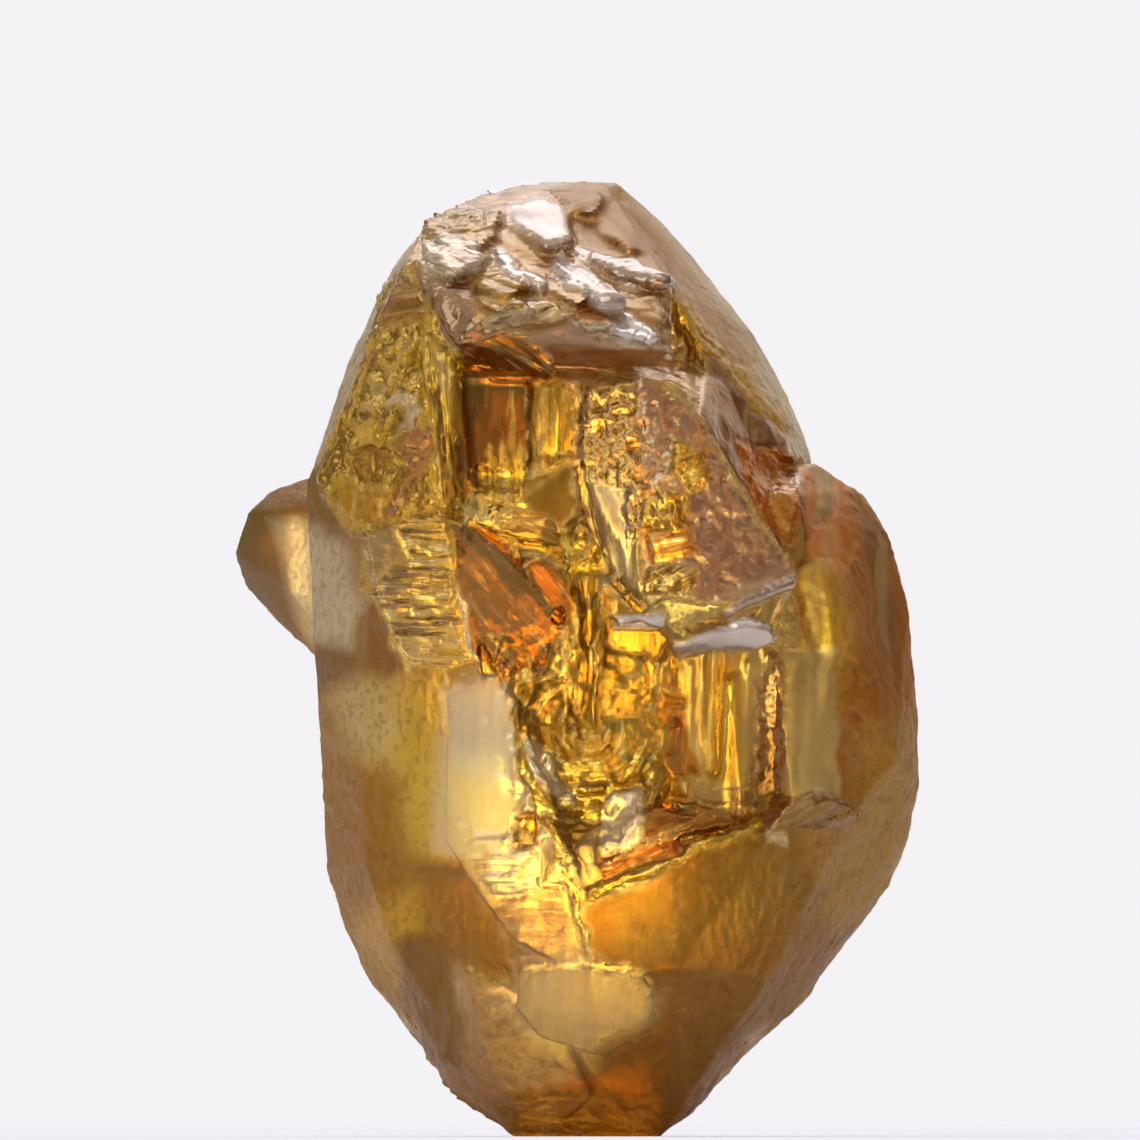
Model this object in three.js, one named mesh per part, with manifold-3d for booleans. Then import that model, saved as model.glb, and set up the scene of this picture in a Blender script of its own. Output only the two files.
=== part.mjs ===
// A natural rough diamond crystal, standing on a small flat face at its narrow end.
// Millimetres, +Z up, -Y is the front. The origin is on the face it rests on.
// The stone is built up from chips: convex blocks with flat faces, each given by its corners [x, y, z].
import * as THREE from 'three';
import { ConvexGeometry } from 'three/addons/geometries/ConvexGeometry.js';
import { mergeVertices } from 'three/addons/utils/BufferGeometryUtils.js';
import Module from 'manifold-3d';

const wasm = await Module();
wasm.setup();

// ---- driving dimensions, mm ----
const rootDepth = 0.3;           // how far a ridge, plate or scale reaches down into the stone
const outsideReach = 20;         // from here a line of sight starts, well outside the stone
const shortestEdge = 0.03;        // shorter edges close up at the end
const edgeLift = 0.01;           // how far the rim of a ridge stands out of the stone
const rimLift = 0.02;            // the same for a shingle

const capPlates = { rise: 0.42, spread: 0.1 };
const columns = { count: 8, left: 1.28, right: 3.2, top: 6.15, foot: 4.1, rise: 0.11 };
const upperSteps = { count: 8, top: 7.55, pitch: 0.17, left: -2.7, right: -1.55, rise: 0.1 };
const lowerSteps = { count: 5, top: 3.58, pitch: 0.14, left: -1.5, right: -0.55, rise: 0.1 };
const ribs = { count: 6, left: -0.2, pitch: 0.085, top: 6.8, foot: 5.25 };
const scales = {
  rings: 7, x: 0.05, z: 5.65, halfWidth: 1.02, halfHeight: 2.4, lowest: 3.05, sweep: 3.5, rise: 0.18,
};
const trigons = { count: 24, size: 0.15, depth: 0.07 };
const wedgeLumps = { count: 24, size: 0.24, rise: 0.16 };
const wedgeRibs = { count: 5, left: -2.0, right: -1.68, rise: 0.1 };
const backSteps = { count: 5, top: 6.3, pitch: 0.26, left: -1.3, right: 1.1, rise: 0.06 };

// ---- repeatable scatter ----
function scatterFrom(seed) {
  let state = seed;
  return (low, high) => {
    state = (state * 16807) % 2147483647;
    return low + (high - low) * (state / 2147483647);
  };
}

// ---- from corners to solids ----
function solidOf(geometry) {
  geometry.deleteAttribute('normal');
  geometry.deleteAttribute('uv');
  const merged = mergeVertices(geometry, 1e-5);
  const mesh = new wasm.Mesh({
    numProp: 3,
    vertProperties: new Float32Array(merged.getAttribute('position').array),
    triVerts: new Uint32Array(merged.index.array),
  });
  return new wasm.Manifold(mesh);
}

function geometryOf(solid) {
  const { vertProperties, triVerts } = solid.getMesh();
  const geometry = new THREE.BufferGeometry();
  geometry.setAttribute('position', new THREE.BufferAttribute(vertProperties, 3));
  geometry.setIndex(new THREE.BufferAttribute(triVerts, 1));
  return geometry;
}

function chip(corners) {
  return solidOf(new ConvexGeometry(corners.map(([x, y, z]) => new THREE.Vector3(x, y, z))));
}

function joined(solids) {
  return solids.reduce((whole, solid) => whole.add(solid));
}

// The surface of a solid as seen along Y: from the front (-1) or from the back (+1).
function surfaceFrom(solid, sideSign) {
  const target = new THREE.Mesh(geometryOf(solid), new THREE.MeshBasicMaterial({ side: THREE.DoubleSide }));
  const caster = new THREE.Raycaster();
  return (x, z) => {
    caster.set(new THREE.Vector3(x, sideSign * outsideReach, z), new THREE.Vector3(0, -sideSign, 0));
    const [hit] = caster.intersectObject(target);
    return hit ? hit.point.y : 0;
  };
}

// A ridge between two points [x, z] on a surface. Its keel is lifted and leans to one side,
// and both ends taper into the stone.
function ridge(surface, from, to, { width, rise, lean = 0, taper = 0.15, facing = -1 }) {
  const along = new THREE.Vector2(to[0] - from[0], to[1] - from[1]);
  const side = new THREE.Vector2(-along.y, along.x).normalize().multiplyScalar(width / 2);
  const at = (share, sideways, lift) => {
    const x = from[0] + along.x * share + side.x * sideways;
    const z = from[1] + along.y * share + side.y * sideways;
    return [x, surface(x, z) + facing * lift, z];
  };
  return chip([
    at(0, 0, edgeLift), at(1, 0, edgeLift),
    ...[taper, 1 - taper].flatMap((share) => [
      at(share, -1, edgeLift), at(share, 1, edgeLift), at(share, lean, rise),
      at(share, -1, -rootDepth), at(share, 1, -rootDepth),
    ]),
  ]);
}

// A shingle: a flat plate that lies in the surface at its upper left and stands out at its lower right.
function shingle(surface, outline, rise) {
  const order = outline.map(([x, z]) => x - z);
  const low = Math.min(...order);
  const span = Math.max(...order) - low;
  const face = outline.map(([x, z]) => {
    const lift = rimLift + rise * (x - z - low) / span;
    return [x, surface(x, z) - lift, z];
  });
  const root = outline.map(([x, z]) => [x, surface(x, z) + rootDepth, z]);
  return chip([...face, ...root]);
}

// ---- the main masses ----
function lowerBody() {
  return chip([
    // the face it rests on, centred under the stone's centre of mass
    [-0.91, -0.95, 0], [0.94, -1.05, 0], [0.94, 1.45, 0], [-0.91, 1.55, 0],
    // lowest ring
    [-1.9, 0.3, 0.95], [0.69, -2.15, 1.08], [1.4, -1.3, 0.85],
    [1.09, 0, 0.51], [1.68, 0, 0.99], [1.3, 1.8, 1.1], [-0.3, 2.2, 1.1], [-1.6, 1.6, 1.1],
    // widest ring of the belly
    [-2.69, 0.6, 1.89], [-3.0, 0.5, 2.51], [-2.45, -1.3, 2.4], [-1.3, -2.3, 2.3], [0.06, -3.1, 1.95],
    [1.19, -3.15, 2.1], [2.3, -2.3, 1.95], [2.26, 0, 1.34], [2.85, 0, 1.81], [3.45, 0.1, 2.59],
    [2.6, 2.4, 2.6], [0, 3.1, 2.5], [-2.2, 2.6, 2.6],
    // crest of the long ledge, rising to the right
    [0, -3.1, 2.93], [1.05, -3.05, 3.35], [2.26, -2.6, 3.72], [3.31, -1.6, 3.9],
    [4.1, 0.2, 3.83], [3.8, 0.2, 3.11],
    // left flank
    [-3.21, 0.6, 3.33], [-2.75, -1.15, 3.4],
    // top of the block, inside the stone
    [-3.2, 0.6, 4.0], [-1.6, -2.2, 4.0], [1.2, -2.2, 4.0], [3.0, 2.2, 5.0],
    [-0.3, 3.2, 5.0], [-2.8, 2.3, 5.0],
  ]);
}

function footLobe() {
  return chip([
    [-2.2, -0.5, 1.65], [-2.1, -0.1, 1.3], [-1.97, 0, 0.93], [-1.6, 0, 0.45], [-1.28, 0, 0.22],
    [-0.8, 0, 0.02], [-0.5, -0.7, 0.0], [-1.95, -1.2, 2.5], [-1.5, -2.1, 2.1], [-1.3, -2.2, 1.2],
    [-0.3, -2.5, 1.35], [0.1, -1.9, 0.45], [-0.9, -1.6, 0.4], [-1.8, -1.2, 1.0],
    [-1.8, 1.0, 1.7], [-0.9, 1.6, 0.9], [0, 0, 2.6], [-1.5, -0.6, 2.8],
  ]);
}

function middleBody() {
  return chip([
    [-1.5, -2.3, 3.3], [0.69, -2.3, 3.9], [2.9, -1.5, 4.2], [-3.22, 0.6, 3.3], [-2.76, -1.15, 3.35],
    [-1.8, -2.2, 5.5], [-0.31, -2.45, 5.45], [1.0, -2.4, 5.45], [3.06, -1.5, 5.45],
    [-3.3, 0.6, 4.5], [-3.3, 0.7, 5.4], [-2.8, -1.1, 5.6], [2.45, -2.0, 6.95], [1.44, -2.35, 8.95],
    [-1.7, -2.4, 7.4], [-1.6, -2.3, 9.2], [0.19, -2.4, 9.33],
    [-3.5, 0.8, 8.2], [-3.21, 0.8, 9.05], [-2.91, 0.7, 9.83], [-2.64, 0.7, 10.45],
    [-2.3, -1.2, 10.6], [-2.38, 0.5, 10.93], [-2.02, 0.5, 11.4], [2.86, 0.8, 8.49], [2.0, 0.9, 10.0],
    [1.5, 2.8, 8.5], [-1.5, 3.2, 8.5],
    [1.0, 2.6, 10.4], [-1.3, 2.6, 10.6], [2.6, 2.6, 6.0], [-2.8, 2.6, 6.0],
    [2.5, 2.3, 4.0], [-2.4, 2.6, 3.6],
  ]);
}

function rightShoulder() {
  return chip([
    [2.88, 0.2, 8.45], [3.51, 0.6, 8.04], [3.85, 0.5, 7.46], [4.04, 0.4, 6.7],
    [4.16, 0.3, 5.45], [4.21, 0.2, 4.41], [4.1, 0.2, 3.83], [3.8, 0.2, 3.1],
    [2.6, -1.2, 8.0], [3.0, -1.55, 6.9], [3.2, -1.5, 5.2], [3.31, -1.5, 3.95],
    [3.9, -0.8, 4.7], [3.3, 2.0, 7.4], [3.6, 2.0, 5.5], [3.3, 2.1, 4.0],
    [2.2, -1.75, 7.2], [2.2, -1.7, 4.5], [1.8, -1.4, 8.0], [2.0, 1.5, 8.0], [2.0, 2.0, 4.0],
  ]);
}

function backRidge() {
  return chip([
    [-0.6, 1.7, 12.05], [0.44, 1.2, 12.0], [0.96, 1.3, 11.5], [1.51, 1.2, 10.75],
    [2.09, 1.1, 10.13], [2.6, 0.9, 9.24], [2.86, 0.7, 8.49],
    [-0.3, 0.2, 11.2], [1.1, -0.5, 10.6], [1.6, -0.8, 9.6], [1.94, -1.2, 8.7],
    [2.56, -0.6, 8.45], [-0.8, 2.6, 11.2], [1.0, 2.6, 11.0], [1.9, 2.4, 9.6],
    [2.4, 2.3, 8.5], [-1.0, 1.0, 9.0],
  ]);
}

function sideKnob() {
  return chip([
    [-4.46, 2.3, 7.35], [-4.27, 2.0, 7.86], [-4.0, 2.2, 8.12], [-3.7, 2.0, 8.23],
    [-4.33, 2.6, 6.93], [-4.04, 2.4, 6.62], [-3.66, 2.2, 6.24], [-3.3, 1.6, 5.95],
    [-3.3, 0.9, 7.9], [-3.25, 0.9, 6.6], [-4.1, 3.3, 7.4], [-3.4, 3.5, 7.6],
    [-2.6, 3.1, 8.3], [-2.6, 3.1, 6.2], [-2.4, 1.2, 8.6], [-2.4, 1.2, 5.9],
  ]);
}

// ---- faces of the front ----
function wedgeFace() {
  return chip([
    [-2.31, -1.6, 10.73], [-2.09, -1.9, 10.93], [-2.0, -2.2, 10.55], [-1.6, -2.75, 9.8],
    [-1.56, -2.8, 7.95], [-1.8, -2.75, 7.65], [-2.7, -2.1, 7.4], [-2.82, -1.9, 7.6],
    [-3.35, -1.5, 8.03], [-3.19, -1.5, 8.7], [-2.66, -1.6, 9.89],
    [-2.2, -0.8, 10.6], [-3.0, -0.7, 8.2], [-1.6, -1.8, 7.5], [-1.7, -1.6, 10.2],
  ]);
}

function stepBank() {
  return chip([
    [-2.75, -1.9, 7.5], [-1.7, -2.65, 7.7], [-1.65, -2.7, 6.9], [-1.4, -2.62, 6.2], [-1.25, -2.6, 5.7],
    [-2.65, -1.75, 6.9], [-2.3, -1.8, 6.2], [-2.1, -1.9, 5.6],
    [-1.6, -1.8, 7.4], [-1.5, -1.8, 5.6], [-2.3, -1.0, 7.2], [-2.1, -1.0, 6.0],
  ]);
}

function paleBand() {
  return chip([
    [-1.75, -2.3, 5.5], [-1.1, -2.6, 5.75], [-0.85, -2.7, 5.4], [-0.7, -2.8, 4.6], [-0.3, -2.95, 3.6],
    [0, -3.1, 2.95], [0.06, -3.05, 1.95], [-0.9, -2.75, 2.4], [-1.44, -2.5, 3.2], [-1.75, -2.35, 3.7],
    [-0.8, -1.8, 5.4], [-0.2, -1.8, 2.4], [-1.5, -1.6, 3.6],
  ]);
}

function palePatch() {
  return chip([
    [-0.88, -2.6, 2.05], [0.06, -3.2, 2.1], [0.85, -3.1, 1.85], [0.94, -2.85, 1.35],
    [0.2, -2.75, 0.98], [-0.55, -2.5, 1.2], [-0.9, -2.45, 1.6], [0, -1.8, 1.6],
  ]);
}

// Left of its middle edge this face is turned to the window, right of it a little upwards.
function pittedFace() {
  return chip([
    [0.0, -2.5, 9.3], [-0.04, -2.55, 8.3], [0.22, -2.6, 7.1],
    [0.72, -2.72, 9.42], [1.12, -2.88, 8.2], [1.3, -3.02, 6.75],
    [1.12, -2.62, 9.36], [1.44, -2.68, 8.95], [1.88, -2.72, 8.08], [2.19, -2.74, 7.45],
    [2.6, -2.72, 6.98], [1.69, -3.02, 6.5], [0.88, -2.95, 6.43],
    [0.2, -2.1, 9.0], [1.2, -2.0, 9.2], [2.2, -1.9, 7.2], [0.5, -2.1, 6.8],
  ]);
}

// ---- the cap: an overhanging slab ----
function capSlab() {
  return chip([
    [-2.06, -1.6, 11.0], [-2.02, -2.2, 10.55], [-1.6, -2.9, 9.78], [-1.06, -3.02, 9.88],
    [-0.5, -3.05, 9.93], [0.19, -2.98, 9.82], [0.69, -2.9, 9.7], [1.1, -2.6, 9.7],
    [-1.31, -2.95, 10.14], [-0.56, -2.95, 10.15], [0.55, -2.85, 9.86],
    [1.09, -2.1, 10.45], [1.0, -1.8, 10.65], [-2.06, -0.9, 11.38], [-1.38, 0.8, 11.83],
    [-0.51, 1.5, 12.05], [0.31, 0.9, 11.95], [1.0, 0.2, 11.0],
    [-1.45, -2.1, 9.6], [0.9, -2.1, 9.5], [-0.2, -2.1, 9.55],
  ]);
}

// The broken lens under the left half of the lip.
function lipLens() {
  return chip([
    [-1.62, -2.75, 9.72], [-1.4, -2.95, 9.8], [-1.0, -3.0, 9.86], [-0.6, -2.95, 9.78],
    [-0.31, -2.75, 9.55], [-0.45, -2.5, 9.36], [-1.0, -2.55, 9.5], [-1.5, -2.5, 9.58],
    [-0.9, -2.0, 9.9],
  ]);
}

function capShingles(surface) {
  const outlines = [
    // small scaly plates along the left brow
    [[-2.0, 11.0], [-1.75, 11.15], [-1.35, 10.95], [-1.3, 10.75], [-1.75, 10.62]],
    [[-1.9, 11.3], [-1.5, 11.45], [-1.1, 11.2], [-1.3, 11.02], [-1.75, 11.05]],
    [[-1.4, 10.72], [-1.0, 10.78], [-0.72, 10.5], [-1.0, 10.36], [-1.35, 10.5]],
    [[-1.4, 10.42], [-0.95, 10.42], [-0.7, 10.22], [-1.1, 10.18], [-1.3, 10.24]],
    // long thin ridges that run down to the right
    [[-1.2, 11.0], [-1.05, 11.05], [-0.48, 10.5], [-0.55, 10.42]],
    [[-0.88, 10.33], [-0.51, 10.4], [0.35, 10.06], [0.25, 9.98], [-0.6, 10.2]],
    [[-0.75, 10.62], [-0.45, 10.66], [0.1, 10.4], [-0.1, 10.25]],
    // the two tongues with rounded ends
    [[-0.36, 10.92], [-0.12, 10.95], [0.38, 10.46], [0.4, 10.28], [0.2, 10.24], [-0.28, 10.7]],
    [[0.0, 11.05], [0.3, 11.05], [0.9, 10.76], [1.0, 10.6], [0.9, 10.52], [0.2, 10.76]],
    [[0.42, 10.46], [0.9, 10.42], [1.02, 10.15], [0.9, 9.98], [0.45, 10.12]],
    // layered lines above the lip
    [[-1.22, 10.2], [-0.6, 10.32], [-0.42, 10.26], [-0.7, 10.12], [-1.15, 10.08]],
    [[-1.05, 10.05], [-0.4, 10.2], [-0.1, 10.14], [-0.35, 10.02], [-0.95, 9.97]],
    [[-0.3, 10.12], [0.1, 10.16], [0.3, 10.02], [0.05, 9.93], [-0.28, 10.0]],
    // the bright shard at the right end of the lip
    [[0.3, 10.14], [0.62, 10.12], [0.98, 9.86], [0.86, 9.8], [0.32, 9.98]],
    // broad plates of the crown
    [[-1.75, 11.45], [-1.4, 11.6], [-1.02, 11.55], [-1.1, 11.32], [-1.6, 11.28]],
    [[0.2, 11.6], [0.62, 11.5], [0.95, 11.05], [0.55, 11.0], [0.15, 11.3]],
    [[-1.0, 11.65], [-0.5, 11.75], [-0.2, 11.55], [-0.18, 11.1], [-0.5, 11.02], [-0.9, 11.3]],
    [[-0.3, 11.8], [0.15, 11.85], [0.25, 11.7], [0.1, 11.5], [-0.2, 11.6]],
  ];
  const riseOf = (order) => capPlates.rise + capPlates.spread * (order % 4 - 1.5);
  return outlines.map((outline, order) => shingle(surface, outline, riseOf(order)));
}

// ---- relief of the wedge face ----
function wedgeRelief(surface) {
  const scatter = scatterFrom(11);
  const lumps = Array.from({ length: wedgeLumps.count }, () => {
    const z = scatter(7.75, 9.8);
    const leftEdge = z > 8.03 ? -3.25 + (z - 8.03) * 0.35 : -2.9;
    const x = scatter(leftEdge + 0.15, -2.1);
    const size = wedgeLumps.size * scatter(0.6, 1.25);
    const turn = scatter(0, Math.PI);
    const outline = [0, 1, 2, 3, 4].map((corner) => {
      const angle = turn + corner * Math.PI * 0.4;
      return [x + Math.cos(angle) * size * 0.75, z + Math.sin(angle) * size * 0.5];
    });
    return shingle(surface, outline, wedgeLumps.rise * scatter(0.3, 1));
  });
  const ribs = Array.from({ length: wedgeRibs.count }, (_, order) => {
    const x = THREE.MathUtils.lerp(wedgeRibs.left, wedgeRibs.right, order / (wedgeRibs.count - 1));
    const size = { width: 0.11, rise: wedgeRibs.rise * scatter(0.6, 1.2), lean: 0.5 };
    return ridge(surface, [x, scatter(9.2, 9.65)], [x + scatter(-0.05, 0.05), scatter(7.85, 8.4)], size);
  });
  return [...lumps, ...ribs];
}

// ---- the window: a hollow under the lip, between the wedge and the pitted face ----
function windowHollow() {
  return chip([
    [-1.56, -4, 9.62], [0.0, -4, 9.45], [0.0, -4, 8.3], [-0.1, -4, 7.75], [-0.8, -4, 7.8], [-1.45, -4, 7.95],
    [-1.5, -2.05, 9.4], [-0.1, -2.1, 9.3], [-0.05, -2.35, 8.3], [-0.9, -2.3, 8.0], [-1.4, -2.2, 8.1],
  ]);
}

function windowFloor() {
  return [
    // smooth upright faces inside the hollow
    chip([[-1.5, -2.1, 9.5], [-0.72, -2.15, 9.5], [-0.75, -2.3, 8.2], [-1.4, -2.3, 8.3],
      [-1.3, -1.8, 9.4], [-0.9, -1.8, 8.2]]),
    chip([[-0.7, -2.25, 9.4], [-0.1, -2.4, 9.4], [-0.05, -2.45, 8.4], [-0.66, -2.35, 8.3],
      [-0.4, -1.9, 9.3], [-0.4, -1.9, 8.3]]),
    // the dull facet and the tan one at the foot of the hollow
    chip([[-0.8, -2.4, 8.35], [-0.12, -2.5, 8.4], [0.02, -2.75, 7.6], [-0.1, -2.85, 7.3],
      [-0.8, -2.7, 7.85], [-0.4, -2.1, 8.3], [-0.3, -2.1, 7.4]]),
    chip([[-1.45, -2.6, 8.0], [-0.85, -2.6, 7.95], [-0.4, -2.85, 7.5], [-0.3, -2.9, 7.28],
      [-1.2, -2.8, 7.5], [-1.6, -2.7, 7.7], [-0.9, -2.0, 7.9], [-0.7, -2.0, 7.3]]),
    // the crumbly chip beside them
    chip([[-0.32, -2.77, 7.48], [-0.06, -2.96, 7.72], [0.13, -2.91, 7.3], [0.05, -2.95, 7.1],
      [-0.25, -2.9, 7.0], [-0.12, -2.18, 7.36]]),
  ];
}

function trigonPits(surface) {
  const scatter = scatterFrom(5);
  return Array.from({ length: trigons.count }, () => {
    const z = scatter(6.75, 9.1);
    const x = scatter(0.15, 2.25 - (z - 6.98) * 0.5);
    const size = trigons.size * scatter(0.5, 1.3);
    const y = surface(x, z);
    const rim = [0, 1, 2].map((corner) => {
      const angle = Math.PI / 2 + corner * Math.PI * 2 / 3 + 0.35;
      return [x + Math.cos(angle) * size, y - 0.1, z + Math.sin(angle) * size];
    });
    return chip([...rim, [x, y + trigons.depth, z]]);
  });
}

// ---- shards ----
function redShards() {
  return [
    chip([[-1.75, -2.55, 7.68], [-1.31, -2.95, 7.5], [-0.88, -3.0, 7.1], [-0.79, -3.0, 6.95],
      [-0.2, -2.75, 6.2], [-0.5, -2.7, 5.9], [-1.06, -2.62, 5.73], [-1.31, -2.6, 6.2],
      [-1.6, -2.7, 7.0], [-1.3, -2.0, 7.2], [-0.5, -2.0, 6.2], [-1.0, -2.0, 6.0]]),
    chip([[-0.86, -2.7, 7.3], [-0.5, -3.02, 7.2], [-0.16, -3.0, 6.98], [-0.12, -2.85, 6.4],
      [-0.5, -2.8, 6.6], [-0.78, -2.95, 7.0], [-0.4, -2.0, 7.0], [-0.3, -2.0, 6.5]]),
    chip([[0.15, -2.95, 7.05], [0.55, -3.0, 6.6], [0.75, -2.9, 6.4], [0.4, -2.85, 6.3],
      [0.1, -2.8, 6.6], [0.3, -2.1, 6.8], [0.4, -2.1, 6.4]]),
  ];
}

function brightShard() {
  return [
    chip([[0.69, -2.95, 6.45], [0.95, -3.05, 6.62], [1.69, -3.08, 6.55], [2.6, -2.75, 7.0],
      [2.56, -2.6, 6.7], [2.26, -2.55, 6.2], [1.9, -2.8, 6.18], [1.4, -2.8, 6.12], [1.09, -2.6, 5.95],
      [1.2, -2.1, 6.8], [2.3, -2.1, 6.8]]),
  ];
}

function brightEdges(surface) {
  return [
    ridge(surface, [1.08, 5.98], [1.6, 6.24], { width: 0.15, rise: 0.08, lean: 0.6 }),
    ridge(surface, [1.45, 6.2], [2.26, 6.3], { width: 0.17, rise: 0.1, lean: 0.6 }),
    ridge(surface, [1.75, 6.48], [2.58, 6.92], { width: 0.14, rise: 0.05, lean: -0.5 }),
    ridge(surface, [0.38, 6.42], [0.98, 6.45], { width: 0.1, rise: 0.06, lean: 0.6 }),
  ];
}

// ---- upright ribs and columns ----
function woodyRibs(surface) {
  const scatter = scatterFrom(23);
  return Array.from({ length: ribs.count }, (_, order) => {
    const x = ribs.left + order * ribs.pitch;
    const size = { width: 1.4 * ribs.pitch, rise: scatter(0.05, 0.16), lean: scatter(-0.6, 0.6) };
    const top = ribs.top + scatter(-0.2, 0.2);
    const foot = ribs.foot + scatter(-0.35, 0.35);
    return ridge(surface, [x, top], [x + scatter(-0.04, 0.08), foot], size);
  });
}

function rightColumns(surface) {
  const scatter = scatterFrom(31);
  const pitch = (columns.right - columns.left) / columns.count;
  return Array.from({ length: columns.count }, (_, order) => {
    const x = columns.left + pitch * (order + scatter(0.3, 0.7));
    const size = {
      width: pitch * scatter(1, 2.3),
      rise: columns.rise * scatter(0.4, 1.2),
      lean: scatter(-0.9, 0.9),
      taper: 0.08,
    };
    const top = columns.top - scatter(0, 0.4);
    const foot = columns.foot + scatter(-0.1, 0.5) - 0.05 * order;
    return ridge(surface, [x, top], [x + scatter(-0.05, 0.05), foot], size);
  });
}

// ---- concentric crinkled scales ----
function scalePoint(ring, angle) {
  const share = (ring + 1) / scales.rings;
  const x = scales.x + Math.sin(angle) * scales.halfWidth * share;
  const z = scales.z - Math.cos(angle) * scales.halfHeight * (0.3 + 0.7 * share);
  return [x, Math.max(z, scales.lowest)];
}

function crinkledScales(surface) {
  const scatter = scatterFrom(47);
  const pieces = [];
  for (let ring = 0; ring < scales.rings; ring += 1) {
    const parts = 4 + 2 * ring;
    for (let part = 0; part < parts; part += 1) {
      const start = scales.sweep * (part / parts - 0.5) + scatter(-0.15, 0.1);
      const end = start + (scales.sweep / parts) * scatter(0.8, 1.35);
      const size = {
        width: scatter(0.14, 0.34),
        rise: scales.rise * scatter(0.2, 1),
        lean: scatter(-0.9, 0.9),
        taper: scatter(0.12, 0.4),
      };
      const stray = scatter(-0.35, 0.35);
      pieces.push(ridge(surface, scalePoint(ring + stray, start), scalePoint(ring - stray, end), size));
    }
  }
  return pieces;
}

// ---- level growth steps ----
function levelSteps(surface, steps, seed, facing = -1) {
  const scatter = scatterFrom(seed);
  return Array.from({ length: steps.count }, (_, order) => {
    const z = steps.top - order * steps.pitch;
    const left = steps.left + scatter(0, 0.3) * (steps.right - steps.left);
    const right = steps.right - scatter(0, 0.2) * (steps.right - steps.left);
    const size = {
      width: steps.pitch * scatter(0.9, 1.3),
      rise: steps.rise * scatter(0.5, 1.2),
      lean: 0.8,
      facing,
    };
    return ridge(surface, [left, z], [right, z + scatter(-0.06, 0.06)], size);
  });
}

// ---- the long ledge and its chips ----
function ledgeCrest(surface) {
  const crest = [[0.02, 2.95], [0.4, 3.1], [0.95, 3.3], [1.25, 3.47], [1.75, 3.66], [2.3, 3.74]];
  return crest.slice(1).map((point, order) => ridge(surface, crest[order], point,
    { width: 0.16, rise: 0.1, lean: 0.5, taper: 0.05 }));
}

function ledgeChips() {
  return [
    chip([[0.2, -2.6, 3.75], [0.85, -2.7, 4.1], [1.4, -2.75, 3.95], [1.1, -2.95, 3.55],
      [0.4, -3.0, 3.25], [0.9, -2.2, 3.8]]),
    chip([[1.1, -2.6, 4.15], [1.8, -2.6, 4.05], [1.9, -2.65, 3.85], [1.2, -2.85, 3.7], [1.5, -2.1, 3.9]]),
    chip([[2.2, -2.5, 3.72], [2.55, -2.45, 4.15], [2.95, -2.2, 4.28], [3.2, -1.95, 4.15],
      [2.8, -2.25, 3.85], [2.6, -1.8, 3.9]]),
    chip([[2.9, -2.1, 4.15], [3.5, -1.6, 4.1], [3.45, -1.6, 3.95], [2.9, -2.0, 3.85], [3.0, -1.4, 4.0]]),
  ];
}

// ---- the back: low, broad growth faces, and the back of the crown ----
function backFaces() {
  return [
    chip([[-2.3, 2.5, 4.6], [2.2, 2.3, 4.9], [2.3, 2.4, 6.9], [-0.2, 2.9, 8.0], [-2.4, 2.5, 6.9],
      [-1.5, 3.2, 5.2], [1.2, 3.4, 5.3], [1.4, 3.35, 6.5], [-0.3, 3.55, 7.2], [-1.6, 3.3, 6.6],
      [0, 1.5, 6.0]]),
    chip([[-1.9, 2.8, 7.4], [1.6, 2.6, 7.3], [1.5, 2.4, 9.6], [-1.4, 2.6, 10.2],
      [-1.2, 3.4, 7.9], [0.9, 3.3, 7.8], [0.8, 3.1, 9.1], [-0.9, 3.3, 9.4], [0, 1.5, 8.5]]),
    chip([[-1.6, 2.4, 1.6], [1.6, 2.1, 1.7], [2.1, 2.4, 3.6], [-1.6, 2.8, 3.9],
      [-0.9, 3.05, 2.1], [1.0, 2.95, 2.1], [1.3, 3.2, 3.2], [-0.8, 3.4, 3.4], [0, 1.2, 2.6]]),
    chip([[-1.9, 0.6, 11.3], [-1.3, 1.9, 11.5], [-0.2, 2.0, 11.8], [0.9, 2.1, 11.2], [-1.8, 2.3, 10.4],
      [1.2, 2.4, 10.1], [-1.2, 0.4, 11.55], [0.3, 0.6, 11.6], [-0.5, 0.5, 10.0]]),
  ];
}

// ---- clearing away the slivers that joins and cuts leave ----
function trianglesAround(triangles) {
  const around = new Map();
  triangles.forEach((triangle, order) => triangle.forEach((corner) => {
    if (!around.has(corner)) around.set(corner, new Set());
    around.get(corner).add(order);
  }));
  return around;
}

// Only the outer surface: the small voids that chips enclose between them are filled.
function outerTriangles(geometry) {
  const triangles = [];
  for (let first = 0; first < geometry.index.count; first += 3) {
    triangles.push([0, 1, 2].map((step) => geometry.index.getX(first + step)));
  }
  const heights = geometry.getAttribute('position');
  const isHigher = (one, other) => heights.getZ(one[0]) > heights.getZ(other[0]);
  const higherOf = (best, triangle, order) => (isHigher(triangle, triangles[best]) ? order : best);
  const topmost = triangles.reduce(higherOf, 0);
  const around = trianglesAround(triangles);
  const reached = new Set([topmost]);
  for (const order of reached) {
    triangles[order].forEach((corner) => around.get(corner).forEach((next) => reached.add(next)));
  }
  return [...reached].sort((a, b) => a - b).map((order) => triangles[order]);
}

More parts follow.
